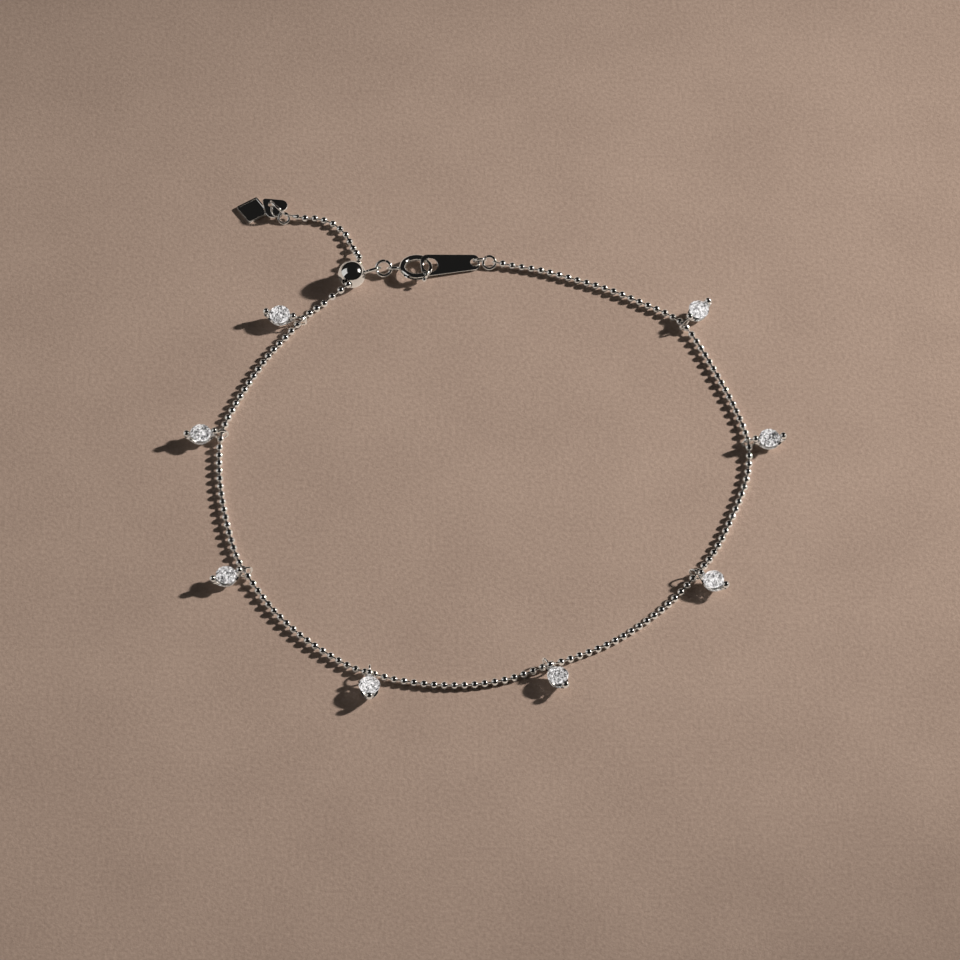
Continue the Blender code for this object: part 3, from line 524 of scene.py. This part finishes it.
stone = bmesh.new()
bmesh.ops.create_cone(
    stone, cap_ends=True, segments=48, radius1=GIRDLE, radius2=GIRDLE, depth=TABLE_HIGH - CULET,
    matrix=Matrix.Translation((0, 0, (TABLE_HIGH + CULET) / 2)),
)
for eighth in range(8):
    angle = EIGHTH * eighth
    girdle_corner = spot_at(GIRDLE, angle, GIRDLE_HIGH)
    low_corner = spot_at(GIRDLE, angle, GIRDLE_LOW)
    stars = [spot_at(star_reach, angle + side, star_height) for side in (-HALF_EIGHTH, HALF_EIGHTH)]
    ridges = [spot_at(RIDGE_REACH, angle + side, ridge_height) for side in (-HALF_EIGHTH, HALF_EIGHTH)]
    grind(stone, girdle_corner, *stars)
    grind(stone, low_corner, *ridges)
for eighth in range(8):
    angle = EIGHTH * eighth
    table_edge = [spot_at(table_corner, angle + side, TABLE_HIGH) for side in (0, EIGHTH)]
    grind(stone, *table_edge, spot_at(star_reach, angle + HALF_EIGHTH, star_height))
    for side in (-HALF_EIGHTH, HALF_EIGHTH):
        girdle_corner = spot_at(GIRDLE, angle, GIRDLE_HIGH)
        girdle_middle = spot_at(GIRDLE, angle + side, GIRDLE_HIGH)
        grind(stone, girdle_corner, girdle_middle, spot_at(star_reach, angle + side, star_height))
        low_corner = spot_at(GIRDLE, angle, GIRDLE_LOW)
        low_middle = spot_at(GIRDLE, angle + side, GIRDLE_LOW)
        grind(stone, low_corner, low_middle, spot_at(RIDGE_REACH, angle + side, ridge_height))
bmesh.ops.remove_doubles(stone, verts=stone.verts, dist=0.002)
bmesh.ops.recalc_face_normals(stone, faces=stone.faces)
print("stone has", len(stone.faces), "faces, open edges", sum(1 for e in stone.edges if e.is_boundary))
stone_mesh = as_stamp(stone)

# %% [markdown]
# ## The cup that holds a stone
# Each cup is a thin cone with its two sides scooped out, so that it rises to a point at each end, where a
# round prong tip grips the stone. A turned shell makes the cone. Its rows are then pulled down to the
# scoop's curve, column by column, which keeps the mesh clean where a boolean would leave slivers. The
# bail, the small ring that hangs on the chain, is soldered to the inner prong.

# %% Setting
CUP_RIM_RADIUS = 2.42
CUP_RIM_HEIGHT = 1.9
CUP_WAIST_RADIUS = 0.725
CUP_WAIST_HEIGHT = 0.25
CUP_WALL = 0.36
CUP_LIP = 0.1
CUP_ROWS = 6
LIP_SHARPNESS = 50
LIP_ABOVE = 0.5
SCOOP_RADIUS = 3.1
SCOOP_AXIS_HEIGHT = 3.95
TIP_PLACE = 2.06
TIP_HEIGHT = 2.15
TIP_RADIUS = 0.54
TIP_SQUASH = 0.92
BAIL_PLACE = 3.026
BAIL_OUTER = 2.2
BAIL_WIRE = 0.3

cup_slope = (CUP_RIM_RADIUS - CUP_WAIST_RADIUS) / (CUP_RIM_HEIGHT - CUP_WAIST_HEIGHT)


def rim_share(across):
    """How much of the cup's height is left where its rim is this far from the middle of the scoop."""
    height = CUP_RIM_HEIGHT
    for step in range(12):
        reach = abs(across) * (CUP_WAIST_RADIUS + cup_slope * (height - CUP_WAIST_HEIGHT))
        scoop = SCOOP_AXIS_HEIGHT - math.sqrt(max(0.0, SCOOP_RADIUS**2 - reach**2))
        height = min(CUP_RIM_HEIGHT, scoop)
    return (height - CUP_WAIST_HEIGHT) / (CUP_RIM_HEIGHT - CUP_WAIST_HEIGHT)


cup_profile = [(0, 0), (0.56, 0), (0.6, 0.04)]
for row in range(CUP_ROWS + 1):
    rise = CUP_WAIST_HEIGHT + (CUP_RIM_HEIGHT - CUP_WAIST_HEIGHT) * row / CUP_ROWS
    cup_profile.append((CUP_WAIST_RADIUS + cup_slope * (rise - CUP_WAIST_HEIGHT), rise))
for row in range(CUP_ROWS, -1, -1):
    rise = CUP_WAIST_HEIGHT + (CUP_RIM_HEIGHT - CUP_WAIST_HEIGHT) * row / CUP_ROWS
    cup_profile.append((CUP_WAIST_RADIUS - CUP_WALL + cup_slope * (rise - CUP_WAIST_HEIGHT), rise))
cup_profile.append((0, CUP_WAIST_HEIGHT))
setting = turned(cup_profile, 72)
for corner in setting.verts:
    reach = corner.co.xy.length
    if corner.co.z > CUP_WAIST_HEIGHT + 0.001 and reach > 0.001:
        rise = (corner.co.z - CUP_WAIST_HEIGHT) * rim_share(corner.co.x / reach)
        inward = cup_slope * (corner.co.z - CUP_WAIST_HEIGHT - rise)
        corner.co.xy *= (reach - inward) / reach
        corner.co.z = CUP_WAIST_HEIGHT + rise
sharp_edges = [edge for edge in setting.edges if edge.calc_face_angle(0.0) > math.radians(LIP_SHARPNESS)]
rims = [edge for edge in sharp_edges if edge.verts[0].co.z > LIP_ABOVE]
bmesh.ops.bevel(
    setting, geom=rims, offset=CUP_LIP, offset_type="OFFSET", segments=3, profile=0.5, affect="EDGES",
    material=-1,
)
for end in (-1, 1):
    tip = bmesh.new()
    bmesh.ops.create_uvsphere(tip, u_segments=20, v_segments=12, radius=TIP_RADIUS)
    bmesh.ops.scale(tip, vec=(TIP_SQUASH, 1.0, 1.0), verts=tip.verts)
    add(setting, smooth(tip), Matrix.Translation((end * TIP_PLACE, 0, TIP_HEIGHT)))
bail_stand = Matrix.Translation((-BAIL_PLACE, 0, BAIL_OUTER / 2)) @ Matrix.Rotation(math.pi / 2, 4, "X")
add(setting, wire_ring(BAIL_OUTER, BAIL_WIRE, bail_stand, steps=36, sides=10))
smooth(setting, UP)
setting_mesh = as_stamp(setting)
print("setting has", len(setting_mesh.polygons), "faces")

# %% [markdown]
# ## Hanging the drops
# Every drop is the same cup and the same stone. It is turned to its heading, tipped a little about its own
# length, and set so that its stone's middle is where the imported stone's middle is. The drop that isn't
# tipped gives the stone's height.

# %% Drops
DROPS = {
    1: {"heading": 167, "roll": -10},
    2: {"heading": -173, "roll": -5},
    3: {"heading": -157, "roll": -5},
    4: {"heading": -90, "roll": 0},
    5: {"heading": -58, "roll": 3},
    6: {"heading": -31, "roll": 5},
    7: {"heading": 8, "roll": 9},
    8: {"heading": 47, "roll": 12},
}
LEVEL_DROP = 4
stone_middle = Vector((0, 0, corners(f"stone_{LEVEL_DROP}").mean(axis=0)[2]))

for number, lie in DROPS.items():
    turn = Matrix.Rotation(math.radians(lie["heading"]), 4, "Z")
    turn = turn @ Matrix.Rotation(math.radians(lie["roll"]), 4, "X")
    middle = Vector(corners(f"stone_{number}").mean(axis=0))
    drop_place = Matrix.Translation(middle - turn @ stone_middle) @ turn
    cup = bmesh.new()
    stamp(cup, setting_mesh, drop_place)
    as_piece(f"drop_setting_{number}", cup, SILVER, replaces=[f"setting_{number}"])
    gem = bmesh.new()
    stamp(gem, stone_mesh, drop_place)
    as_piece(
        f"drop_stone_{number}", gem, CRYSTAL, replaces=[f"stone_{number}"], sharp=1.0
    )

# %% [markdown]
# ## The sliding ball
# The ball has a bore that the chain slides through. A profile of the bore's wall, a small rounded lip and
# the ball's own curve is spun round the bore's axis, so the lip comes out clean on both sides.

# %% Ball
BALL_CENTRE = Vector((-19.866, 31.288, 2.05))
BALL_RADIUS = 2.05
BORE_RADIUS = 0.8
BORE_HEADING = math.radians(67.5)
BALL_RING_CENTRE = Vector((-16.885, 32.493, 1.58))
BALL_RING_HEADING = math.radians(202)
BALL_RING_OUTER = 3.0
BALL_RING_WIRE = 0.48
LIP_WIDTH = 0.06
LIP_DEPTH = 0.12
LIP_ROUND_OUT = 0.015
LIP_ROUND_DOWN = 0.03

lip = math.degrees(math.asin((BORE_RADIUS + LIP_WIDTH) / BALL_RADIUS))
lip_height = BALL_RADIUS * math.cos(math.radians(lip))
ball_profile = [
    (BORE_RADIUS, -lip_height + LIP_DEPTH),
    (BORE_RADIUS, lip_height - LIP_DEPTH),
    (BORE_RADIUS + LIP_ROUND_OUT, lip_height - LIP_ROUND_DOWN),
    *sphere_arc(BALL_RADIUS, lip, 180 - lip, 32),
    (BORE_RADIUS + LIP_ROUND_OUT, -lip_height + LIP_ROUND_DOWN),
]
bore = Vector((math.cos(BORE_HEADING), math.sin(BORE_HEADING), 0))
ball = turned(ball_profile, 64, closed=True)
bmesh.ops.transform(ball, matrix=facing(BALL_CENTRE, bore, UP), verts=ball.verts)
ring_along = Vector((math.cos(BALL_RING_HEADING), math.sin(BALL_RING_HEADING), 0))
ring_stand = facing(BALL_RING_CENTRE, ring_along.cross(LEAN_FACE), ring_along)
add(ball, wire_ring(BALL_RING_OUTER, BALL_RING_WIRE, ring_stand, steps=56, sides=14))
as_piece("sliding_ball", ball, BRIGHT_SILVER, replaces=["slider_ball"])

# %% [markdown]
# ## The spring ring
# A spring ring is a tube bent to most of a circle. A sprung wire slides inside it, and a knob that comes out
# through a slot pulls it back. The tube is a circle spun part of a turn. The faces over the slot are deleted,
# and solidify gives the rest its wall, so the slot and the open ends show real thickness.

# %% Spring ring
SPRING_TILT = Matrix.Rotation(math.radians(-8), 4, "X")
SPRING_PLACE = Matrix.Translation((-10.223, 33.499, 1.064)) @ SPRING_TILT
SPRING_RADIUS = 2.11
TUBE_RADIUS = 0.49
TUBE_WALL = 0.14
GATE_HALF = 50.0
SLOT_START = 222.0
SLOT_END = 302.0
SLOT_HALF = 0.26
RIB_ANGLES = (-53.5, -58.5)
LOOP_CENTRE = Vector((-13.617, 33.292, 1.064))
LOOP_HEADING = math.radians(183.5)
LOOP_OUTER = 2.2
LOOP_WIRE = 0.46


def bent_rod(radius, thickness, start, end, steps, sides, capped=True):
    """A round rod bent about Z from one angle in degrees to another."""
    shape = bmesh.new()
    section = Matrix.Translation((radius, 0, 0)) @ Matrix.Rotation(math.pi / 2, 4, "X")
    bmesh.ops.create_circle(shape, cap_ends=False, segments=sides, radius=thickness / 2, matrix=section)
    turn = Matrix.Rotation(math.radians(start), 3, "Z")
    bmesh.ops.rotate(shape, cent=(0, 0, 0), matrix=turn, verts=shape.verts)
    bmesh.ops.spin(
        shape, geom=shape.verts[:] + shape.edges[:], cent=(0, 0, 0), axis=(0, 0, 1),
        angle=math.radians(end - start), steps=steps,
    )
    if capped:
        rims = [edge for edge in shape.edges if edge.is_boundary]
        bmesh.ops.holes_fill(shape, edges=rims, sides=sides)
    bmesh.ops.recalc_face_normals(shape, faces=shape.faces)
    return smooth(shape)


spring = bent_rod(SPRING_RADIUS, 2 * TUBE_RADIUS, GATE_HALF, 360 - GATE_HALF, 66, 24, capped=False)
slot_faces = []
for face in spring.faces:
    middle = face.calc_center_median()
    angle = math.degrees(math.atan2(middle.y, middle.x)) % 360
    if SLOT_START < angle < SLOT_END and abs(middle.z) < SLOT_HALF and middle.xy.length > SPRING_RADIUS:
        slot_faces.append(face)
bmesh.ops.delete(spring, geom=slot_faces, context="FACES")
bmesh.ops.solidify(spring, geom=spring.faces[:], thickness=TUBE_WALL)
bmesh.ops.recalc_face_normals(spring, faces=spring.faces)
smooth(spring)

collar_profile = [
    (0.25, -0.07), (0.42, -0.07), (0.5, -0.03), (0.53, 0.03), (0.5, 0.1), (0.42, 0.12), (0.25, 0.12),
]
rib_profile = [(0.4, -0.1), (0.5, -0.09), (0.57, -0.04), (0.57, 0.04), (0.5, 0.09), (0.4, 0.1)]


def across_tube(angle):
    """A place on the tube's centre line with its Z along the tube."""
    turn = math.radians(angle)
    spot = Vector((SPRING_RADIUS * math.cos(turn), SPRING_RADIUS * math.sin(turn), 0))
    return facing(spot, Vector((-math.sin(turn), math.cos(turn), 0)), UP)


add(spring, turned(collar_profile, 24, closed=True), across_tube(GATE_HALF))
turned_back = Matrix.Rotation(math.pi, 4, "X")
add(spring, turned(collar_profile, 24, closed=True), across_tube(-GATE_HALF) @ turned_back)
for rib_angle in RIB_ANGLES:
    add(spring, turned(rib_profile, 24, closed=True), across_tube(rib_angle))
bmesh.ops.transform(spring, matrix=SPRING_PLACE, verts=spring.verts)
loop_along = Vector((math.cos(LOOP_HEADING), math.sin(LOOP_HEADING), 0))
loop_stand = facing(LOOP_CENTRE, loop_along.cross(LEAN_FACE), loop_along)
add(spring, wire_ring(LOOP_OUTER, LOOP_WIRE, loop_stand, steps=44, sides=14))
as_piece("spring_ring_tube", spring, BRIGHT_SILVER, replaces=["spring_ring"])

# %% [markdown]
# ## The sliding gate
# The gate is a bent wire with a pin and a round knob for the thumb nail. It rides on its own body, because it
# slides round inside the tube when the clasp is opened.

# %% Gate
KNOB_ANGLE = math.radians(-67)
KNOB_REACH = 2.97
KNOB_RADIUS = 0.32
PIN_FOOT = 0.18
PIN_TOP = 0.16
GATE_WIRE = 0.58
GATE_START = -85
GATE_END = 57

gate = bent_rod(SPRING_RADIUS, GATE_WIRE, GATE_START, GATE_END, 40, 16)
outward = Vector((math.cos(KNOB_ANGLE), math.sin(KNOB_ANGLE), 0))
pin = bmesh.new()
bmesh.ops.create_cone(
    pin, cap_ends=True, segments=12, radius1=PIN_FOOT, radius2=PIN_TOP, depth=KNOB_REACH - SPRING_RADIUS
)
add(gate, smooth(pin), facing(outward * (SPRING_RADIUS + KNOB_REACH) / 2, outward, UP))
knob = bmesh.new()
bmesh.ops.create_uvsphere(knob, u_segments=20, v_segments=12, radius=KNOB_RADIUS)
add(gate, smooth(knob), facing(outward * KNOB_REACH, outward, UP))
bmesh.ops.transform(gate, matrix=SPRING_PLACE, verts=gate.verts)
as_piece("sprung_gate", gate, BRIGHT_SILVER, body=BOLT_BODY, replaces=["clasp_bolt"])

# %% [markdown]
# ## Flat pieces
# The plate and the heart are stamped from sheet. Each starts as a closed outline with the outlines of its
# holes inside it, is filled flat, thickened, and gets a fine bevel all round, which is where a stamped and
# tumbled piece catches the light. The large flat faces stay flat shaded, so the bevel doesn't bend them.


# %% Helpers for flat pieces
SHEET_THICKNESS = 0.35
SHEET_EDGE_ANGLE = 60


def pressed(outline, holes, thickness, bevel):
    """A flat piece about z = 0 from an outline and (x, y, diameter) holes, with bevelled edges."""
    shape = bmesh.new()
    points = [shape.verts.new((x, y, -thickness / 2)) for x, y in outline]
    rim = [shape.edges.new((a, b)) for a, b in zip(points, points[1:] + points[:1])]
    for x, y, diameter in holes:
        spot = Matrix.Translation((x, y, -thickness / 2))
        bmesh.ops.create_circle(shape, cap_ends=False, segments=32, radius=diameter / 2, matrix=spot)
    bmesh.ops.triangle_fill(shape, use_beauty=True, use_dissolve=False, edges=shape.edges[:])
    bmesh.ops.recalc_face_normals(shape, faces=shape.faces)
    grown = bmesh.ops.extrude_face_region(shape, geom=shape.faces[:])
    lifted = [part for part in grown["geom"] if isinstance(part, bmesh.types.BMVert)]
    bmesh.ops.translate(shape, vec=(0, 0, thickness), verts=lifted)
    bmesh.ops.recalc_face_normals(shape, faces=shape.faces)
    edges = [edge for edge in shape.edges if edge.calc_face_angle(0.0) > math.radians(SHEET_EDGE_ANGLE)]
    flat_rims = [edge for edge in edges if abs(edge.verts[0].co.z - edge.verts[1].co.z) < 0.001]
    bmesh.ops.bevel(
        shape, geom=flat_rims, offset=bevel, offset_type="OFFSET", segments=3, profile=0.5, affect="EDGES",
        material=-1,
    )
    return smooth(shape, UP)


def rounded(corner_list, steps=6):
    """An outline with each (x, y, radius) corner rounded."""
    outline = []
    for index, (x, y, radius) in enumerate(corner_list):
        spot = Vector((x, y))
        before = (Vector(corner_list[index - 1][:2]) - spot).normalized()
        after = (Vector(corner_list[(index + 1) % len(corner_list)][:2]) - spot).normalized()
        half = before.angle(after) / 2
        centre = spot + (before + after).normalized() * radius / math.sin(half)
        start = spot + before * radius / math.tan(half) - centre
        for step in range(steps + 1):
            outline.append(centre + Matrix.Rotation((math.pi - 2 * half) * step / steps, 2) @ start)
    return outline


# %% Plate
PLATE_PLACE = facing(Vector((-8.159, 33.934, 1.003)), (0.0823, -0.3179, 0.9446), (0.9915, 0.1217, -0.0454))
PLATE_BACK = -1.45
PLATE_FRONT = 7.4
PLATE_WIDE_HALF = 1.8
PLATE_NARROW_HALF = 1.15
PLATE_WIDE_CORNER = 1.1
PLATE_NARROW_CORNER = 0.85
PLATE_BIG_HOLE = 2.2
PLATE_SMALL_HOLE = 1.1
PLATE_HOLE_SPACING = 6.6
PLATE_BEVEL = 0.07

plate_corners = [
    (PLATE_BACK, -PLATE_WIDE_HALF, PLATE_WIDE_CORNER),
    (PLATE_FRONT, -PLATE_NARROW_HALF, PLATE_NARROW_CORNER),
    (PLATE_FRONT, PLATE_NARROW_HALF, PLATE_NARROW_CORNER),
    (PLATE_BACK, PLATE_WIDE_HALF, PLATE_WIDE_CORNER),
]
plate_holes = [(0, 0, PLATE_BIG_HOLE), (PLATE_HOLE_SPACING, 0, PLATE_SMALL_HOLE)]
plate = pressed(rounded(plate_corners), plate_holes, SHEET_THICKNESS, PLATE_BEVEL)
bmesh.ops.transform(plate, matrix=PLATE_PLACE, verts=plate.verts)
as_piece("clasp_tag", plate, BRIGHT_SILVER, replaces=["clasp_plate"])

# %% [markdown]
# ## The heart
# One half of the heart is two arcs, a small one for the tip and a large one for the lobe, joined by the
# straight line that touches both. The other half is its mirror image.

# %% Heart
HEART_PLACE = Matrix.Translation((-31.4, 45.1, 0.96)) @ Matrix.Rotation(math.radians(138), 4, "Z")
LOBE = 1.1
LOBE_OUT = 0.84
TIP_PLACE_X = 2.2
TIP_ROUND = 0.5
HEART_HOLE_PLACE = 1.1
HEART_HOLE = 0.9
HEART_BEVEL = 0.08

tip_to_lobe = math.hypot(TIP_PLACE_X, LOBE_OUT)
side_lean = math.asin((LOBE - TIP_ROUND) / tip_to_lobe) + math.atan2(LOBE_OUT, TIP_PLACE_X)
side_angle = math.pi / 2 - side_lean
cleft_angle = math.pi + math.asin(LOBE_OUT / LOBE)
tip_arc = [
    (TIP_PLACE_X + TIP_ROUND * math.cos(turn), TIP_ROUND * math.sin(turn))
    for turn in np.linspace(0, side_angle, 8)
]
lobe_arc = [
    (LOBE * math.cos(turn), LOBE_OUT + LOBE * math.sin(turn))
    for turn in np.linspace(side_angle, cleft_angle, 26)
]
upper_side = [*tip_arc, *lobe_arc]
lower_side = [(x, -y) for x, y in reversed(upper_side)]
heart_outline = [*upper_side, *lower_side[1:-1]]
heart = pressed(heart_outline, [(HEART_HOLE_PLACE, 0, HEART_HOLE)], SHEET_THICKNESS, HEART_BEVEL)
bmesh.ops.transform(heart, matrix=HEART_PLACE, verts=heart.verts)
as_piece("heart_charm", heart, BRIGHT_SILVER, replaces=["heart_tag"])

# %% [markdown]
# ## The square
# The square has a thin raised rim round a sunk face. It is built up from rounded squares, one above the
# other: the foot, the side, the top of the rim, and then inward and down to the face. A flat tongue with a
# hole and a short strap join it to the ring.


# %% Helper for stacked squares
def stacked(levels):
    """A rounded square built up from levels of (half side, corner radius, height), closed at both ends."""
    shape = bmesh.new()
    rings = []
    for half, corner, height in levels:
        spots = [(half * x, half * y, corner) for x, y in ((-1, -1), (1, -1), (1, 1), (-1, 1))]
        rings.append([shape.verts.new((x, y, height)) for x, y in rounded(spots, steps=4)])
    for low, high in zip(rings, rings[1:]):
        for index in range(len(low)):
            shape.faces.new((low[index - 1], low[index], high[index], high[index - 1]))
    shape.faces.new(rings[0][::-1])
    shape.faces.new(rings[-1])
    bmesh.ops.recalc_face_normals(shape, faces=shape.faces)
    return shape


# %% Square
SQUARE_PLACE = Matrix.Translation((-34.993, 45.449, 0.25)) @ Matrix.Rotation(math.radians(33.5), 4, "Z")
SQUARE_HALF = 1.8
SQUARE_CORNER = 0.3
SQUARE_TOP = 0.25
SQUARE_RIM = 0.22
SQUARE_RECESS = 0.12
SQUARE_EDGE = 0.05
SQUARE_EDGE_MIDDLE = 0.015
TONGUE_PLACE = Vector((-31.411, 45.925, 0.43))
STRAP_START = 0.62
STRAP_INSET = 0.3
STRAP_WIDTH = 0.85
STRAP_THICKNESS = 0.25

square = stacked([
    (SQUARE_HALF - SQUARE_EDGE, SQUARE_CORNER - SQUARE_EDGE, -SQUARE_TOP),
    (SQUARE_HALF, SQUARE_CORNER, -SQUARE_TOP + SQUARE_EDGE),
    (SQUARE_HALF, SQUARE_CORNER, SQUARE_TOP - SQUARE_EDGE),
    (SQUARE_HALF - SQUARE_EDGE_MIDDLE, SQUARE_CORNER - SQUARE_EDGE_MIDDLE, SQUARE_TOP - SQUARE_EDGE_MIDDLE),
    (SQUARE_HALF - SQUARE_EDGE, SQUARE_CORNER - SQUARE_EDGE, SQUARE_TOP),
    (SQUARE_HALF - SQUARE_RIM, 0.1, SQUARE_TOP),
    (SQUARE_HALF - SQUARE_RIM - 0.03, 0.08, SQUARE_TOP - 0.03),
    (SQUARE_HALF - SQUARE_RIM - 0.06, 0.06, SQUARE_TOP - SQUARE_RECESS),
])
smooth(square, UP)
bmesh.ops.transform(square, matrix=SQUARE_PLACE, verts=square.verts)
tongue_profile = [(0.55, -0.13), (0.82, -0.13), (0.85, -0.1), (0.85, 0.1), (0.82, 0.13), (0.55, 0.13)]
tongue = turned(tongue_profile, 32, closed=True)
bmesh.ops.transform(tongue, matrix=Matrix.Translation(TONGUE_PLACE), verts=tongue.verts)
add(square, tongue)
strap_end = SQUARE_PLACE @ Vector((SQUARE_HALF - STRAP_INSET, -SQUARE_HALF + STRAP_INSET, 0))
strap_end.z = TONGUE_PLACE.z
strap_run = strap_end - TONGUE_PLACE
strap = bmesh.new()
strap_length = strap_run.length - STRAP_START
strap_middle = TONGUE_PLACE + strap_run.normalized() * (STRAP_START + strap_length / 2)
strap_size = Matrix.Diagonal((strap_length, STRAP_WIDTH, STRAP_THICKNESS, 1))
bmesh.ops.create_cube(strap, size=1.0, matrix=strap_size)
add(square, strap, facing(strap_middle, UP, strap_run))
as_piece("square_charm", square, BRIGHT_SILVER, replaces=["square_tag"])

# %% [markdown]
# ## The floor
# The anklet lies on a warm matte board, pale taupe with a fine grain. A large plane does it, wide enough
# that the polished metal mirrors it far out. Fine noise gives the grain, in colour and in height. A larger,
# softer noise paints a gentle dapple of light and shade into its colour. Every ray that doesn't come from
# the camera meets a paler colour, a painted brighter reflection and bounce. That isn't how a real board
# behaves. It keeps the rims of the beads and wires apart from the board behind them.

# %% Floor
FLOOR_SIZE = 2.5

floor_shape = bmesh.new()
bmesh.ops.create_grid(floor_shape, x_segments=1, y_segments=1, size=FLOOR_SIZE)
floor_mesh = as_stamp(floor_shape)
floor = bpy.data.objects.new("floor", floor_mesh)
bpy.context.scene.collection.objects.link(floor)

board, board_tree, board_shader = new_material("warm_board")
board_place = new_node(board_tree, "TexCoord")
board_grain = new_node(board_tree, "TexNoise", Scale=1800.0, Detail=5.0, Roughness=0.65)
# A larger, softer noise paints a gentle dapple of light and shade into the board's colour.
board_painted_dapple = new_node(board_tree, "TexNoise", Scale=60.0, Detail=3.0)
board_mix = new_node(board_tree, "Math", {"operation": "MULTIPLY_ADD"})
board_mix.inputs[1].default_value = 0.35
board_ramp = new_node(board_tree, "ValToRGB")
board_ramp.color_ramp.elements[0].position = 0.35
board_ramp.color_ramp.elements[0].color = (0.30, 0.22, 0.178, 1)
board_ramp.color_ramp.elements[1].position = 1.0
board_ramp.color_ramp.elements[1].color = (0.48, 0.365, 0.30, 1)
# Rays that don't come from the camera see a paler board: a painted brighter reflection in the metal, and
# brighter bounce.
board_path = new_node(board_tree, "LightPath")
board_painted_reflection = new_node(board_tree, "MixRGB", Color1=(0.62, 0.56, 0.51, 1))
board_bump = new_node(board_tree, "Bump", Strength=0.35, Distance=0.0002)
board_link = board_tree.links.new
board_link(board_place.outputs["Object"], board_grain.inputs["Vector"])
board_link(board_place.outputs["Object"], board_painted_dapple.inputs["Vector"])
board_link(board_painted_dapple.outputs["Fac"], board_mix.inputs[0])
board_link(board_grain.outputs["Fac"], board_mix.inputs[2])
board_link(board_mix.outputs["Value"], board_ramp.inputs["Fac"])
board_link(board_path.outputs["Is Camera Ray"], board_painted_reflection.inputs["Fac"])
board_link(board_ramp.outputs["Color"], board_painted_reflection.inputs["Color2"])
board_link(board_painted_reflection.outputs["Color"], board_shader.inputs["Base Color"])
board_link(board_grain.outputs["Fac"], board_bump.inputs["Height"])
board_link(board_bump.outputs["Normal"], board_shader.inputs["Normal"])
board_shader.inputs["Roughness"].default_value = 0.85
board_shader.inputs["Specular IOR Level"].default_value = 0.2
floor_mesh.materials.append(board)
print(floor.name, "of", board.name, "with", len(board_tree.nodes), "nodes")

# %% [markdown]
# ## Light
# The photograph's shadows fall to the left and a little towards the camera, and they are long, so the key
# light stands low on the right and slightly behind. It is a spot lamp small enough for a clear shadow with
# a soft edge. A wide dim panel on the left gives the pale patch on the ball, and a smaller, brighter one
# stands near the key light. The room itself stays dark, because polished metal shows its surroundings:
# that is what makes the plate nearly black.


# %% Lights
KEY_AZIMUTH = 18
KEY_ELEVATION = 29
KEY_DISTANCE = 1.2
KEY_POWER = 96
KEY_COLOUR = (1.0, 0.94, 0.88)
KEY_SIZE = 0.035
KEY_CONE = math.radians(18)
ROOM_COLOUR = (0.9, 0.88, 0.86, 1)
ROOM_STRENGTH = 0.012


def toward(azimuth, elevation):
    """A direction from its angles in degrees, azimuth 0 along +X and 90 along +Y."""
    turn = math.radians(azimuth)
    rise = math.radians(elevation)
    return Vector((math.cos(rise) * math.cos(turn), math.cos(rise) * math.sin(turn), math.sin(rise)))


def panel_light(name, direction, distance, width, height, glow, colour):
    """A panel that faces the anklet, with its power worked out from how bright it looks."""
    data = bpy.data.lights.new(name, "AREA")
    data.shape = "RECTANGLE"
    data.size = width
    data.size_y = height
    data.energy = glow * math.pi * width * height
    data.color = colour
    light = bpy.data.objects.new(name, data)
    light.location = direction * distance
    light.rotation_euler = direction.to_track_quat("Z", "Y").to_euler()
    bpy.context.scene.collection.objects.link(light)
    return light


key_toward = toward(KEY_AZIMUTH, KEY_ELEVATION)
key_data = bpy.data.lights.new("key", "SPOT")
key_data.energy = KEY_POWER
key_data.color = KEY_COLOUR
key_data.shadow_soft_size = KEY_SIZE
key_data.spot_size = KEY_CONE
key_data.spot_blend = 1.0
key = bpy.data.objects.new("key", key_data)
key.location = key_toward * KEY_DISTANCE
key.rotation_euler = key_toward.to_track_quat("Z", "Y").to_euler()
bpy.context.scene.collection.objects.link(key)
left_window = panel_light(
    "left_window", toward(180, 24), distance=0.9, width=0.75, height=0.9, glow=0.62, colour=(1.0, 0.98, 0.96)
)
right_panel = panel_light(
    "right_panel", toward(10, 30), distance=0.9, width=0.30, height=0.34, glow=1.8, colour=(1.0, 0.96, 0.92)
)

world = bpy.data.worlds.new("dim_room")
world.use_nodes = True
room = world.node_tree.nodes["Background"]
room.inputs["Color"].default_value = ROOM_COLOUR
room.inputs["Strength"].default_value = ROOM_STRENGTH
bpy.context.scene.world = world
bpy.context.scene.view_settings.view_transform = "Standard"
print("lights", key.name, left_window.name, right_panel.name)
